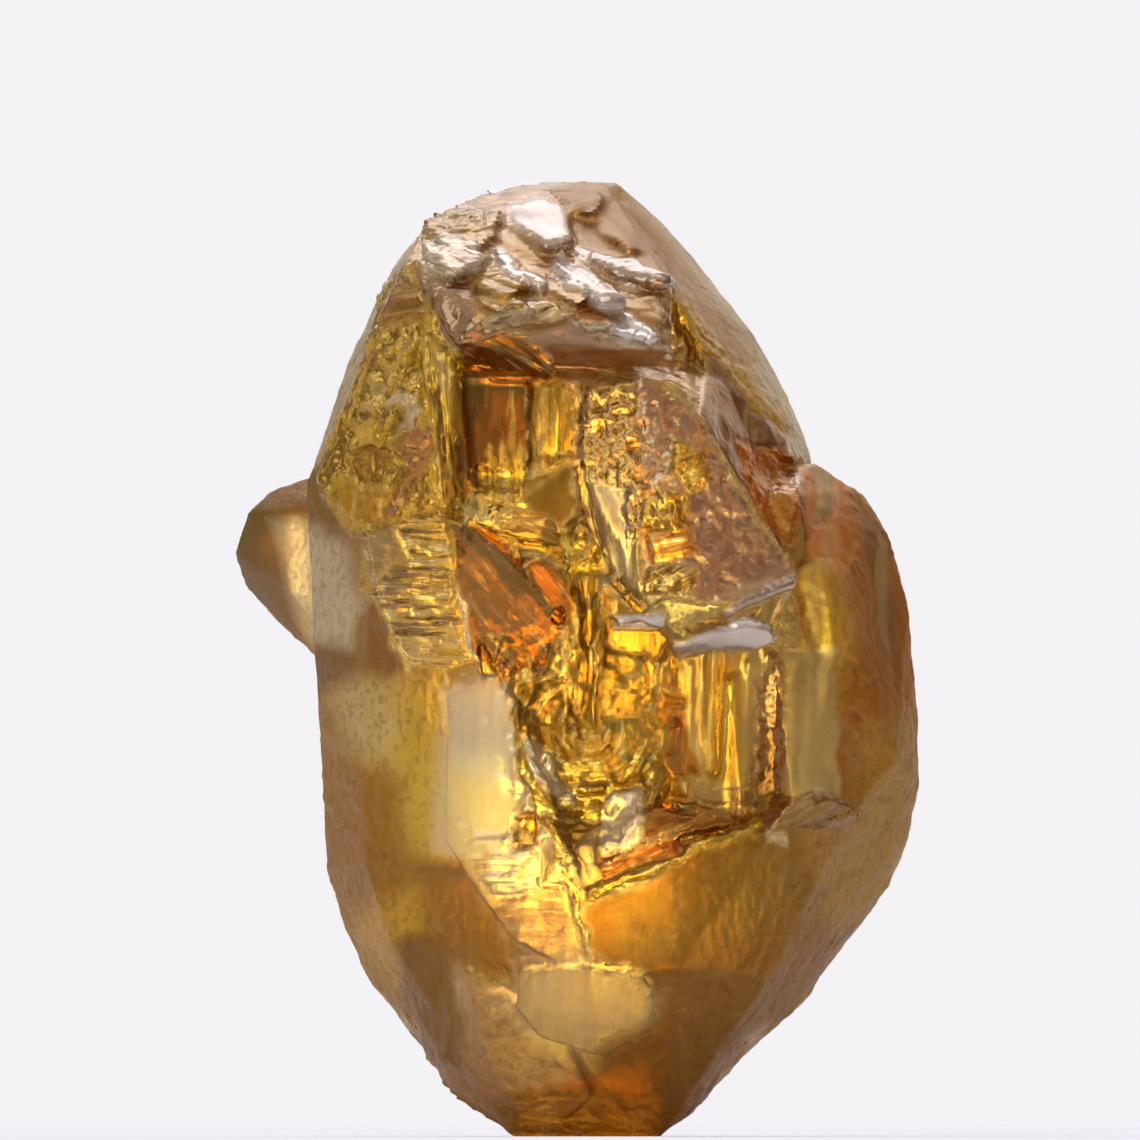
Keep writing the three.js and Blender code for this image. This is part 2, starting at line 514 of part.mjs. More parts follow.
function withoutShortEdges(geometry, shortest) {
  const points = geometry.getAttribute('position');
  const at = (corner) => new THREE.Vector3().fromBufferAttribute(points, corner);
  const triangles = outerTriangles(geometry);
  const around = trianglesAround(triangles);
  const neighbours = (corner) => new Set([...around.get(corner)].flatMap((order) => triangles[order]));
  const normal = (corners) => new THREE.Triangle(...corners.map(at)).getNormal(new THREE.Vector3());

  // An edge may close up only if that leaves the surface closed and turns no face over.
  const mayClose = (keep, gone) => {
    const nearKeep = neighbours(keep);
    const onBoth = [...neighbours(gone)].filter((corner) => nearKeep.has(corner));
    const shared = onBoth.filter((corner) => corner !== keep && corner !== gone);
    if (shared.length !== 2) return false;
    return [...around.get(gone)].filter((order) => !triangles[order].includes(keep)).every((order) => {
      const moved = triangles[order].map((corner) => (corner === gone ? keep : corner));
      return normal(triangles[order]).dot(normal(moved)) > 0.3;
    });
  };
  const close = (keep, gone) => {
    for (const order of [...around.get(gone)]) {
      const triangle = triangles[order];
      if (triangle.includes(keep)) {
        triangle.forEach((corner) => around.get(corner).delete(order));
        triangles[order] = null;
      } else {
        triangles[order] = triangle.map((corner) => (corner === gone ? keep : corner));
        around.get(keep).add(order);
      }
    }
    around.delete(gone);
  };

  for (let closed = 1; closed > 0;) {
    closed = 0;
    for (let order = 0; order < triangles.length; order += 1) {
      for (let step = 0; step < 3 && triangles[order]; step += 1) {
        const keep = triangles[order][step];
        const gone = triangles[order][(step + 1) % 3];
        if (at(keep).distanceTo(at(gone)) < shortest && mayClose(keep, gone)) {
          close(keep, gone);
          closed += 1;
        }
      }
    }
  }
  const tidy = new THREE.BufferGeometry();
  tidy.setAttribute('position', points);
  tidy.setIndex(triangles.filter((triangle) => triangle).flat());
  return tidy;
}

// ---- assemble ----
function crystal() {
  const masses = joined([
    lowerBody(), footLobe(), middleBody(), rightShoulder(), backRidge(), sideKnob(),
    wedgeFace(), stepBank(), paleBand(), palePatch(), ...backFaces(),
  ]);
  const faced = joined([
    masses.subtract(windowHollow()), pittedFace(), capSlab(), lipLens(), ...windowFloor(),
    ...redShards(), ...brightShard(), ...ledgeChips(),
  ]);
  const front = surfaceFrom(faced, -1);
  const back = surfaceFrom(faced, 1);
  const detailed = joined([
    faced, ...capShingles(front), ...wedgeRelief(front), ...brightEdges(front), ...woodyRibs(front),
    ...rightColumns(front), ...crinkledScales(front), ...ledgeCrest(front),
    ...levelSteps(front, upperSteps, 61), ...levelSteps(front, lowerSteps, 67),
    ...levelSteps(back, backSteps, 71, 1),
  ]);
  return detailed.subtract(joined(trigonPits(front)));
}

const diamond = new THREE.MeshStandardMaterial({ color: 0xb8862e, roughness: 0.2, metalness: 0 });
const stone = new THREE.Mesh(withoutShortEdges(geometryOf(crystal()), shortestEdge), diamond);
stone.name = 'rough_diamond';

const group = new THREE.Group();
group.add(stone);

export default group;
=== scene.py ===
# A rough diamond on a plain pale floor.
# The CAD solid gives every main form. This script refines a copy of it, raises the fine relief,
# and gives it the material, the light and the camera.
import math

import bpy
import numpy as np
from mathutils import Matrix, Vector


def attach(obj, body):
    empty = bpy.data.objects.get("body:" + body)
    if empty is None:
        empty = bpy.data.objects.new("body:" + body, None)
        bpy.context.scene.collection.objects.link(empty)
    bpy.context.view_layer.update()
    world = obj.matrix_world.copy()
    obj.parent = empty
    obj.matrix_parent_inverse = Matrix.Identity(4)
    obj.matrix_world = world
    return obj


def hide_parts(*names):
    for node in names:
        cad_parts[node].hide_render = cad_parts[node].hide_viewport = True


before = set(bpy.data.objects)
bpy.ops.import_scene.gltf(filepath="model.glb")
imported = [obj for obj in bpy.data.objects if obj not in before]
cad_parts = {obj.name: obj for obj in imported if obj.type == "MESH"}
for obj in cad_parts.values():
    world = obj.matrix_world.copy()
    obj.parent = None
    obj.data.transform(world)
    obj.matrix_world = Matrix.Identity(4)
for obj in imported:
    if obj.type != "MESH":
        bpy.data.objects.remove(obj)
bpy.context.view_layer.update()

MM = 0.001

# ---- sizes, mm ----
GRID = 0.052            # spacing of the refined surface's points
WELD = 1e-5             # points closer than this are one
FRONT_REACH = 0.6       # how far back, along Y, the front keeps all its points
RAGGED = 0.056          # how far the patches' edges wander
RAGGED_RUN = 0.275      # over what length they do
CALM_EDGE = 0.075       # fine lines fade out this near the edge of a patch
FLAKE_EDGE = 0.025      # half the width of a raised flake's edge
LAYERS = 0.07           # height of the layers along the fine lines
LUMPS = 0.05            # height of the crumbs
LUMP_SIZE = 0.2
WRINKLES = 0.03         # height of the folds between the crumbs
WRINKLE_SIZE = 0.3
BEND_SIZE = 0.5         # over what length crumbs and folds are pulled out of shape
SWELL = 0.035           # height of the slow swell of every face
SWELL_SIZE = 1.1
PIT = 0.06              # depth of an etched pit
PIT_SPACING = 0.2
SINK = 0.02             # how far the relief starts under the solid's faces
PAINTED_SHADE_DEPTHS = (0.02, 0.07)   # painted shade: the front is darkened towards rust in its hollows between these depths
FOOT = (0.05, 0.35)     # the relief fades in between these heights, so the resting face stays flat

# ---- shares of the sizes above ----
BACK_SHARE = 0.14       # how many of their points the sides and the back keep
FACING = 0.1            # the front's points have normals with a Y below this,
FADE = (0.3, 0.0)       # and its patches fade in between these
LEAST_LIFT = 0.1        # how much of its lift a flake has where it starts
LINE_LENGTH = 9         # length of a fine line, in pitches
LINE_SHIFT = 3.7        # how far the noise moves on from patch to patch, so no two have the same lines
LAYER_WIDTH = 2.4       # width of a layer, in pitches
LAYER_DROP = 0.78       # where in that width it starts to fall off
LAYER_WANDER = 0.8      # how far its edge wanders, in layers,
LAYER_CALM = 0.3        # and how much more slowly it does so across the lines than along them
LUMP_STEP = 0.6         # how unlike in height two crumbs are,
LUMP_SLOPE = 0.6        # how much each falls off from its middle,
LUMP_GROOVE = 0.4       # how deep the groove between them is,
GROOVE_WIDTH = 0.25     # and how wide
LUMP_BEND = 0.9         # how far the crumbs are pulled out of shape,
WRINKLE_BEND = 0.8      # and the folds
PIT_RIM = (0.36, 0.16)  # how far from its middle an etched pit starts, and where it is at its deepest
PAINTED_SHADE_SHARE = 0.6       # how much of rust the deepest hollows take, as painted shade

# ---- the sides and the back ----
# The least value, how much may come on top of it, and over what length it changes, mm.
SIDE_LINES = (0.15, 0.6, 1.7)
SIDE_CRUMBS = (0.1, 0.6, 1.3)
SIDE_ROUGHNESS = (0.14, 0.2, 1.9)
SIDE_TINT_RUN = 2.2     # over what length the tint changes, mm
SIDE_GRAIN = (0.2, 1.4)                # spacing and length of the fine lines, mm

# ---- finish ----
IOR = 2.417
TRANSMISSION = 0.78
REFLECTION = (0.8, 0.52, 0.1, 1)       # colour of the light that a face sends straight back
ABSORPTION = (0.93, 0.81, 0.1, 1)
DENSITY = 260.0                        # of the absorption
BUMP = 0.04 * MM                       # height of the finest relief
SPECKS = 9.0 / MM                      # how many specks go to a length
SPECK_DEPTH = (0.8, 0.08)              # of BUMP: for each unit of a patch's crumbs, and everywhere
SPECK_ROUGHNESS = 0.1
DARK_LINES = (0.5, 0.42)               # where in the noise of the lines and specks the streaks start,
PALE_LINES = (0.54, 0.62)              # and where they are full
DARK_SPECKS = (0.48, 0.38)
PALE_SHARE = 0.8                       # how much of a pale streak shows
SHINE_IOR = 3.0                        # of the fresh breaks
SHINE_ROUGHNESS = 0.25
FROSTED = 0.42                         # roughness of the frosted parts
DARK_STREAK = (0.11, 0.035, 0.002, 1)
PALE_STREAK = (0.95, 0.8, 0.4, 1)
BRIGHTER = 1.2                         # what the tints are scaled by, up to BRIGHTEST, and the power
BRIGHTEST = 0.95                       # that deepens them, to make up for the light lost inside the
DEEPER = 1.15                          # stone


# ---- repeatable noise ----
def dice(cells, seed):
    """A repeatable random number from 0 to 1 for each whole-numbered cell."""
    n = cells[..., 0] * 1619 + cells[..., 1] * 31337 + cells[..., 2] * 6971 + seed * 1013
    n = n & 0x7FFFFFFF
    n = (n >> 13) ^ n
    n = (n * (n * n * 60493 + 19990303) + 1376312589) & 0x7FFFFFFF
    return n / 0x7FFFFFFF


def noise(points, seed):
    """Smooth noise from -1 to 1, with about one bump to a unit."""
    low = np.floor(points).astype(np.int64)
    t = points - low
    t = t * t * (3 - 2 * t)
    total = np.zeros(len(points))
    for corner in np.ndindex(2, 2, 2):
        weight = np.prod(np.where(corner, t, 1 - t), axis=-1)
        total += weight * dice(low + np.array(corner), seed)
    return 2 * total - 1


def fractal(points, octaves, seed):
    """Noise in several octaves, each half as large and twice as fine as the one before."""
    layers = [noise(points * 2 ** k + 17.3 * k, seed + k) / 2 ** k for k in range(octaves)]
    return sum(layers)


def scattered(points, seed):
    """Distances to the two nearest scattered seeds, and a random number of the nearest one."""
    low = np.floor(points).astype(np.int64)
    near = np.full(len(points), 9.0)        # farther than any seed
    second = near.copy()
    own = np.zeros(len(points))
    for step in np.ndindex(3, 3, 3):
        cell = low + np.array(step) - 1
        spot = cell + np.stack([dice(cell, seed + k) for k in range(3)], axis=-1)
        away = np.linalg.norm(spot - points, axis=-1)
        closer = away < near
        second = np.where(closer, near, np.minimum(second, away))
        own = np.where(closer, dice(cell, seed + 7), own)
        near = np.minimum(near, away)
    return near, second, own


def smooth_step(low, high, value):
    """0 below low, 1 above high, and smooth between them; low may be the larger."""
    t = np.clip((value - low) / (high - low), 0, 1)
    return t * t * (3 - 2 * t)


def varied(points, least, more, run, seed, start=0):
    """A value that changes slowly from place to place, and stays least where the noise is below start."""
    return least + more * smooth_step(start, start + 0.5, fractal(points / run, 2, seed))


# ---- the refined copy of the CAD solid, in mm ----
def points_of(mesh, what="co"):
    """The mesh's points, or with "normal" their normals, as rows."""
    flat = np.zeros(len(mesh.vertices) * 3, np.float32)
    source = mesh.vertices if what == "co" else mesh.vertex_normals
    source.foreach_get("co" if what == "co" else "vector", flat)
    return flat.reshape(-1, 3).astype(float)


def set_points(mesh, points):
    """Moves the mesh's points to these rows."""
    mesh.vertices.foreach_set("co", points.astype(np.float32).ravel())
    mesh.update()


def with_modifier(stone, kind, **settings):
    """Applies one modifier to the stone's mesh."""
    modifier = stone.modifiers.new(kind, kind)
    for name, value in settings.items():
        setattr(modifier, name, value)
    shown = stone.evaluated_get(bpy.context.evaluated_depsgraph_get())
    made = bpy.data.meshes.new_from_object(shown)
    stone.modifiers.clear()
    stone.data = made


def refined_copy(node):
    """An even skin of small faces over the solid, with far fewer on the sides and the back."""
    mesh = node.data.copy()
    mesh.materials.clear()
    set_points(mesh, points_of(mesh) / MM)
    stone = bpy.data.objects.new("crystal", mesh)
    bpy.context.scene.collection.objects.link(stone)
    with_modifier(stone, "WELD", merge_threshold=WELD)
    with_modifier(stone, "REMESH", mode="VOXEL", voxel_size=GRID)
    points, normals = points_of(stone.data), points_of(stone.data, "normal")
    front = (normals[:, 1] < FACING) & (points[:, 1] < FRONT_REACH)
    group = stone.vertex_groups.new(name="back")
    group.add(np.flatnonzero(~front).tolist(), 1.0, "REPLACE")
    kept = (front.sum() + BACK_SHARE * (~front).sum()) / len(front)
    with_modifier(stone, "DECIMATE", ratio=float(kept), vertex_group="back")
    stone.vertex_groups.clear()
    return stone


# ---- what the front looks like, patch by patch ----
# Tints, as seen on a screen (red, green, blue out of 255). White serves as painted highlight and lilac as
# painted reflection; mauve is the stone's brown with painted reflection over it.
TINTS = {
    "white": (252, 248, 247),
    "lilac": (168, 138, 134),
    "cream": (253, 248, 222),
    "straw": (234, 214, 150),
    "beige": (192, 168, 130),
    "fawn": (196, 158, 128),
    "honey": (244, 190, 70),
    "bronze": (170, 118, 32),
    "pitch": (54, 12, 0),
    "copper": (176, 92, 0),
    "tawny": (128, 70, 2),
    "bark": (112, 88, 30),
    "gold": (228, 174, 52),
    "yellow": (250, 212, 84),
    "tan": (182, 138, 66),
    "mauve": (162, 110, 86),
    "plum": (100, 50, 44),
    "orange": (236, 122, 0),
    "amber": (156, 92, 8),
    "umber": (104, 44, 0),
    "rust": (106, 32, 0),
    "olive": (122, 88, 24),
}


def linear(colour):
    """A screen colour (sRGB, out of 255) as light."""
    share = np.array(colour) / 255
    light = np.where(share <= 0.04045, share / 12.92, ((share + 0.055) / 1.055) ** 2.4)
    return min(BRIGHTER * light.max(), BRIGHTEST) * (light / light.max()) ** DEEPER


class Patch:
    """A patch of the front: its outline in X and Z, mm, its tint, and the way its surface is broken up.

    name: what it is, for the reader. soft: how far its edge fades, mm.
    angle: the way its fine lines run, in degrees from +X towards +Z. centre: what they curve round instead.
    pitch: the lines' spacing, mm. lines, crumbs, pits: how deep its lines, lumps and etched pits are, 0 to 1.
    lift: how high it stands out at the end that its lines run to, mm; below 0 it is sunk.
    rough: its roughness. shine: how much of the sheen of a fresh break it has, 0 to 1.
    """

    def __init__(self, name, tint, outline, soft=0.04, angle=90, pitch=0.12, lines=0.3, crumbs=0.1, rough=0.2,
                 centre=None, lift=0.0, pits=0.0, shine=0.0):
        self.name = name
        self.tint = linear(TINTS[tint])
        self.outline = np.array(outline, float)
        self.soft = soft
        self.angle = math.radians(angle)
        self.centre = centre
        self.pitch = pitch
        self.lines = lines
        self.crumbs = crumbs
        self.rough = rough
        self.lift = lift
        self.pits = pits
        self.shine = shine

    def run(self, points):
        """Distances along and across the patch's fine lines."""
        flat = points[:, [0, 2]]
        if self.centre:
            flat = flat - np.array(self.centre)
            return np.arctan2(flat[:, 1], flat[:, 0]), np.linalg.norm(flat, axis=-1)
        way = np.array([math.cos(self.angle), math.sin(self.angle)])
        return flat @ way, flat @ np.array([-way[1], way[0]])

    def height(self, points, inside):
        """How high each point of a flake stands: more and more towards the end that its lines run to."""
        if self.lift <= 0 or not inside.any():
            return np.full(len(points), self.lift)
        along = self.run(points)[0]
        start, end = along[inside].min(), along[inside].max()
        return self.lift * np.clip((along - start) / (end - start), LEAST_LIFT, 1)


def frosted(name, tint, outline, soft=0.15, lines=0.06, crumbs=0.35, **more):
    """A patch of dull, etched surface with hardly a line in it."""
    return Patch(name, tint, outline, soft=soft, lines=lines, crumbs=crumbs, rough=FROSTED, **more)


PATCHES = [
    # sides and rim
    frosted("left rim", "cream", [(-3.62, 7.95), (-3.34, 8.95), (-2.94, 9.95), (-2.41, 10.97),
          (-2.0, 11.38), (-2.0, 10.93), (-2.46, 10.57), (-2.69, 9.95), (-2.99, 9.2), (-3.29, 8.57),
          (-3.36, 7.83)], soft=0.08, pitch=0.4),
    frosted("knob", "umber", [(-4.56, 8.32), (-3.19, 8.45), (-3.0, 7.45), (-2.79, 6.7), (-2.86, 5.58),
          (-3.31, 5.58), (-4.56, 6.7)], soft=0.13, pitch=0.4, lines=0.1),
    frosted("knob end", "pitch", [(-4.61, 8.2), (-3.94, 8.28), (-3.86, 6.62), (-4.49, 6.7)], pitch=0.4,
          crumbs=0.1),
    frosted("neck", "cream", [(-3.61, 7.7), (-3.0, 7.39), (-2.79, 6.7), (-2.94, 6.08), (-3.44, 6.2),
          (-3.74, 6.83)]),
    Patch("neck crack", "rust", [(-2.79, 6.62), (-2.51, 6.7), (-2.26, 5.75), (-2.79, 5.58)], soft=0.08,
          lines=0.06),
    frosted("left flank", "bronze", [(-3.41, 5.58), (-1.81, 5.75), (-1.66, 3.45), (-1.91, 2.2),
          (-2.31, 1.52), (-3.19, 2.2), (-3.44, 4.2)], soft=0.18, pitch=0.3),
    frosted("left flank light", "straw", [(-3.14, 5.45), (-2.66, 5.65), (-2.19, 5.58), (-2.26, 5.2),
          (-2.06, 4.83), (-2.36, 4.58), (-2.69, 4.7), (-3.01, 4.95)], soft=0.25, pitch=0.3),
    frosted("left flank gold", "yellow", [(-2.41, 5.58), (-1.74, 5.65), (-1.61, 4.95), (-1.74, 4.2),
          (-1.51, 3.5), (-2.06, 3.15), (-2.36, 3.58), (-2.26, 4.33), (-2.46, 4.95)], soft=0.25, pitch=0.3),
    frosted("left flank spots", "straw", [(-2.91, 5.53), (-2.64, 5.58), (-2.56, 5.3), (-2.36, 5.12),
          (-2.51, 4.92), (-2.79, 5.03), (-2.94, 5.25)], soft=0.13, crumbs=0.5),
    frosted("left flank dark", "amber", [(-3.29, 4.2), (-2.81, 4.53), (-2.31, 4.33), (-2.19, 3.7),
          (-1.81, 3.2), (-2.01, 2.33), (-2.44, 2.08), (-2.94, 2.7), (-3.19, 3.45)], soft=0.25, pitch=0.3),
    frosted("left flank foot", "honey", [(-2.66, 2.95), (-2.06, 3.08), (-2.01, 2.45), (-2.26, 1.7),
          (-2.66, 2.08), (-2.94, 2.58)], soft=0.23, pitch=0.3),
    frosted("right shoulder", "copper", [(2.64, 8.5), (3.46, 8.12), (3.94, 7.45), (4.11, 6.45),
          (4.24, 5.45), (4.19, 4.33), (3.56, 4.12), (3.11, 4.17), (3.14, 5.45), (2.69, 6.7), (2.51, 7.7)],
          soft=0.08, pitch=0.4),
    frosted("shoulder streak", "orange", [(2.76, 8.43), (3.26, 8.22), (3.34, 7.45), (3.14, 6.7),
          (3.21, 5.95), (2.91, 6.2), (2.69, 7.2)], pitch=0.35, lines=0.35, crumbs=0.1),
    frosted("shoulder streak pale", "beige", [(2.84, 8.47), (3.14, 8.32), (3.11, 7.7), (2.89, 7.65)],
          soft=0.1, lines=0.3, crumbs=0.1),
    frosted("shoulder streak dark", "umber", [(3.46, 7.95), (3.74, 7.7), (3.94, 6.7), (3.89, 5.7),
          (3.64, 6.2), (3.51, 7.2)], soft=0.18, pitch=0.35, lines=0.3, crumbs=0.1),
    frosted("shoulder gold", "gold", [(2.69, 7.12), (3.09, 7.2), (3.29, 6.45), (3.21, 5.45), (2.94, 4.7),
          (2.69, 5.45)], soft=0.18, pitch=0.4, lines=0.3, crumbs=0.3),
    frosted("shoulder edge", "tan", [(3.34, 4.9), (4.24, 5.58), (4.24, 4.2), (3.34, 3.95)], soft=0.25,
          pitch=0.4, crumbs=0.3),
    frosted("belly", "tawny", [(-0.04, 2.85), (0.69, 3.08), (1.44, 3.42), (2.26, 3.83), (4.19, 4.45),
          (3.69, 2.95), (2.69, 1.7), (1.69, 0.95), (0.69, 0.2), (0.14, 0.9), (0.89, 1.45), (0.71, 2.05),
          (0.06, 2.3)], soft=0.06, angle=-10, pitch=0.4),
    frosted("belly foot", "tawny", [(0.19, 1.2), (1.74, 1.5), (1.99, 1.07), (0.81, 0.15), (0.14, 0.3)],
          soft=0.18),
    frosted("belly dark", "olive", [(0.19, 2.89), (1.31, 3.4), (2.26, 3.83), (2.84, 3.2), (2.31, 2.58),
          (1.44, 2.33), (0.69, 2.1), (0.24, 2.33)], soft=0.3),
    frosted("belly glow", "orange", [(-0.24, 0.75), (0.76, 0.82), (0.69, 0.2), (-0.06, 0.25)], crumbs=0.1),
    frosted("belly edge", "tan", [(2.69, 3.9), (4.24, 4.5), (4.04, 3.55), (3.59, 2.67), (3.06, 2.58),
          (2.89, 3.2)], soft=0.18),
    frosted("foot", "amber", [(-1.94, 0.88), (-0.81, 0.53), (0.24, 0.57), (0.94, 0.33), (0.81, -0.05),
          (-0.81, -0.05), (-1.69, 0.3)], soft=0.1),
    # lower left
    Patch("pale band", "cream", [(-1.74, 5.53), (-1.06, 5.67), (-0.84, 5.25), (-0.71, 4.65), (-0.46, 4.2),
          (-0.29, 3.8), (-0.59, 3.48), (-1.44, 3.5), (-1.84, 3.67), (-1.74, 4.7)], soft=0.18, lines=0.1,
          rough=0.6, shine=0.45),
    Patch("pale band low", "straw", [(-1.75, 4.58), (-0.81, 4.33), (-0.56, 3.58), (-1.44, 3.42),
          (-1.81, 3.58)], soft=0.25, lines=0.06, rough=0.6, shine=0.3),
    Patch("pale crackle", "straw", [(-1.06, 4.58), (-0.56, 4.25), (-0.29, 3.8), (-0.61, 3.48),
          (-1.06, 3.58), (-0.91, 4.05)], soft=0.08, angle=0, crumbs=0.6, rough=0.3, shine=0.35),
    Patch("pale pocket", "amber", [(-0.91, 3.88), (-0.61, 4.0), (-0.61, 3.58), (-0.89, 3.5)], lift=-0.12),
    Patch("pale steps", "straw", [(-1.49, 3.48), (-0.54, 3.55), (-0.59, 2.92), (-1.29, 2.88)], soft=0.05,
          angle=0, pitch=0.13, lines=0.6, rough=0.3, shine=0.35),
    Patch("band foot", "tan", [(-1.29, 2.92), (-0.31, 3.08), (-0.04, 2.25), (-0.79, 1.9), (-1.19, 2.4)],
          soft=0.1, angle=0, lines=0.4, shine=0.2),
    frosted("lobe top", "tawny", [(-2.06, 3.42), (-1.44, 3.42), (-0.79, 2.2), (-0.84, 1.7), (-1.81, 2.2)],
          soft=0.18),
    frosted("lobe dark", "umber", [(-2.34, 2.45), (-1.69, 2.48), (-1.56, 1.7), (-1.54, 0.7),
          (-2.01, 0.93), (-2.31, 1.7)], soft=0.1),
    frosted("lobe mauve", "fawn", [(-1.49, 1.95), (-0.94, 1.82), (-0.69, 1.2), (-0.04, 0.7),
          (-1.06, 0.53), (-1.49, 0.95)], soft=0.13),
    frosted("pale patch", "straw", [(-0.96, 1.82), (-0.56, 2.12), (-0.24, 2.33), (0.06, 2.12),
          (0.51, 1.9), (0.89, 1.7), (0.69, 1.4), (0.26, 1.27), (0.01, 0.95), (-0.31, 1.15), (-0.69, 1.25),
          (-0.86, 1.55)], soft=0.3, crumbs=0.1, shine=0.15),
    # wedge
    Patch("wedge", "yellow", [(-2.52, 10.65), (-2.06, 10.95), (-1.81, 10.07), (-1.54, 9.57),
          (-1.49, 7.95), (-1.81, 7.55), (-2.31, 7.38), (-2.94, 7.55), (-3.35, 8.0), (-3.26, 8.57),
          (-2.94, 9.2), (-2.69, 9.95)], soft=0.025, angle=68, pitch=0.16, lines=0.9, crumbs=0.9),
    Patch("wedge top", "amber", [(-2.36, 10.75), (-2.01, 10.5), (-1.94, 10.07), (-2.51, 10.07)], soft=0.1,
          angle=10, lines=0.8),
    Patch("wedge fibres", "yellow", [(-2.06, 10.03), (-1.54, 9.55), (-1.46, 7.95), (-1.81, 7.75),
          (-2.01, 8.57)], soft=0.05, angle=96, pitch=0.11, lines=1.0),
    Patch("wedge flats", "honey", [(-2.99, 8.15), (-2.29, 7.95), (-2.36, 7.62), (-2.94, 7.58),
          (-3.19, 7.9)], crumbs=0.2),
    Patch("wedge snake", "mauve", [(-2.16, 8.8), (-1.96, 8.78), (-1.89, 8.55), (-1.96, 8.28),
          (-2.14, 8.0), (-2.26, 7.75), (-2.44, 7.62), (-2.59, 7.7), (-2.46, 7.9), (-2.31, 8.1),
          (-2.26, 8.35), (-2.34, 8.55)], soft=0.025, lines=0.1),
    Patch("wedge brown", "bronze", [(-2.96, 8.47), (-2.66, 8.55), (-2.39, 8.47), (-2.36, 8.22),
          (-2.61, 8.28), (-2.76, 8.1), (-2.94, 8.18)], crumbs=0.6, lift=-0.05),
    Patch("wedge chip", "cream", [(-2.49, 9.05), (-2.34, 9.25), (-2.14, 9.2), (-2.06, 8.97),
          (-2.16, 8.78), (-2.34, 8.72), (-2.24, 8.9), (-2.26, 9.07), (-2.39, 9.05)], soft=0.025,
          crumbs=0.3, lift=0.04),
    Patch("wedge chip left", "yellow", [(-2.91, 8.8), (-2.66, 8.9), (-2.46, 8.72), (-2.54, 8.55),
          (-2.81, 8.57)], soft=0.03, lift=0.04),
    Patch("upper steps", "yellow", [(-2.76, 7.38), (-2.31, 7.6), (-1.81, 7.8), (-1.49, 7.7), (-1.61, 7.2),
          (-1.51, 6.45), (-1.29, 5.92), (-1.81, 5.7), (-2.31, 5.9), (-2.56, 6.45), (-2.79, 6.83)],
          angle=-3, pitch=0.085, lines=1.0, shine=0.08),
    Patch("steps edge", "beige", [(-2.79, 7.35), (-2.41, 7.55), (-2.26, 7.2), (-2.64, 6.8)], soft=0.08,
          angle=-3, lines=0.5),
    Patch("steps rim", "cream", [(-1.59, 7.45), (-1.49, 7.2), (-1.39, 6.45), (-1.16, 5.9), (-1.26, 5.8),
          (-1.49, 6.2), (-1.59, 6.83)], soft=0.019, shine=0.4),
    # window
    Patch("window foot", "yellow", [(-1.26, 8.43), (-0.69, 8.47), (-0.69, 7.78), (-1.16, 7.7),
          (-1.31, 7.95)], soft=0.13, angle=88, lines=0.8, crumbs=0.3),
    Patch("window panel", "pitch", [(-1.54, 9.5), (-0.64, 9.43), (-0.65, 8.32), (-0.76, 7.95),
          (-0.81, 8.55), (-0.91, 8.12), (-0.99, 8.6), (-1.06, 8.07), (-1.14, 8.55), (-1.21, 7.95),
          (-1.26, 8.32), (-1.31, 7.7), (-1.51, 7.85)], pitch=0.1, lines=0.1, crumbs=0.0),
    Patch("window band", "gold", [(-0.65, 9.3), (-0.14, 9.32), (-0.11, 8.4), (-0.41, 8.2), (-0.64, 8.38)],
          pitch=0.1, lines=0.6, crumbs=0.0),
    Patch("window streak", "rust", [(-1.54, 9.2), (-1.36, 8.7), (-1.26, 7.95), (-1.44, 7.88),
          (-1.54, 8.45)], soft=0.025),
    Patch("dull facet", "olive", [(-0.79, 8.12), (-0.11, 8.32), (-0.01, 7.39), (-0.31, 7.3), (-0.74, 7.9)],
          soft=0.025, lines=0.1, crumbs=0.0),
    Patch("tan facet", "tan", [(-1.09, 7.67), (-0.56, 7.78), (-0.09, 7.39), (-0.31, 7.12), (-0.81, 7.3),
          (-1.14, 7.5)], angle=-25, lines=0.4),
    Patch("gold crumbs", "straw", [(-1.26, 7.88), (-0.81, 7.72), (-1.06, 7.45), (-1.34, 7.62)], crumbs=1.0),
    Patch("crumbly chip", "yellow", [(-0.36, 7.25), (-0.09, 7.65), (0.19, 7.38), (0.19, 7.0),
          (-0.11, 6.8), (-0.34, 7.0)], soft=0.025, crumbs=1.0),
    # cap
    frosted("ridge", "cream", [(0.19, 12.0), (0.94, 11.53), (1.54, 10.8), (2.14, 10.2), (2.69, 9.24),
          (2.96, 8.49), (2.31, 8.43), (1.81, 8.82), (1.31, 9.57), (1.06, 10.45), (0.69, 11.07),
          (-0.06, 11.51)], soft=0.08, angle=-52, pitch=0.3, lines=0.12, shine=0.2),
    Patch("ridge notch", "olive", [(0.24, 11.78), (0.59, 11.78), (0.59, 11.5), (0.29, 11.55)], soft=0.06),
    frosted("ridge shade", "fawn", [(0.69, 11.5), (1.04, 11.32), (1.64, 10.45), (2.19, 9.7), (1.99, 9.55),
          (1.44, 10.07), (0.99, 10.7)], soft=0.1, lines=0.1, crumbs=0.1, shine=0.1),
    frosted("ridge olive", "honey", [(1.69, 9.82), (2.09, 9.55), (2.56, 8.82), (2.39, 8.65), (1.99, 9.03)],
          soft=0.13, lines=0.3, crumbs=0.5),
    Patch("ridge gap", "rust", [(1.04, 10.45), (1.31, 10.32), (1.46, 10.0), (1.31, 9.82), (1.09, 10.0)],
          lift=-0.08),
    Patch("ridge gold", "honey", [(0.99, 10.5), (1.31, 10.45), (1.64, 9.95), (2.04, 9.3), (1.89, 9.22),
          (1.44, 9.55), (1.14, 9.95)], soft=0.08, crumbs=0.5),
    Patch("cap", "fawn", [(-2.12, 11.32), (-1.38, 11.85), (-0.51, 12.07), (0.46, 12.0), (0.19, 11.51),
          (-0.06, 11.07), (0.69, 10.93), (1.11, 10.6), (1.11, 9.68), (0.19, 9.88), (-1.31, 9.8),
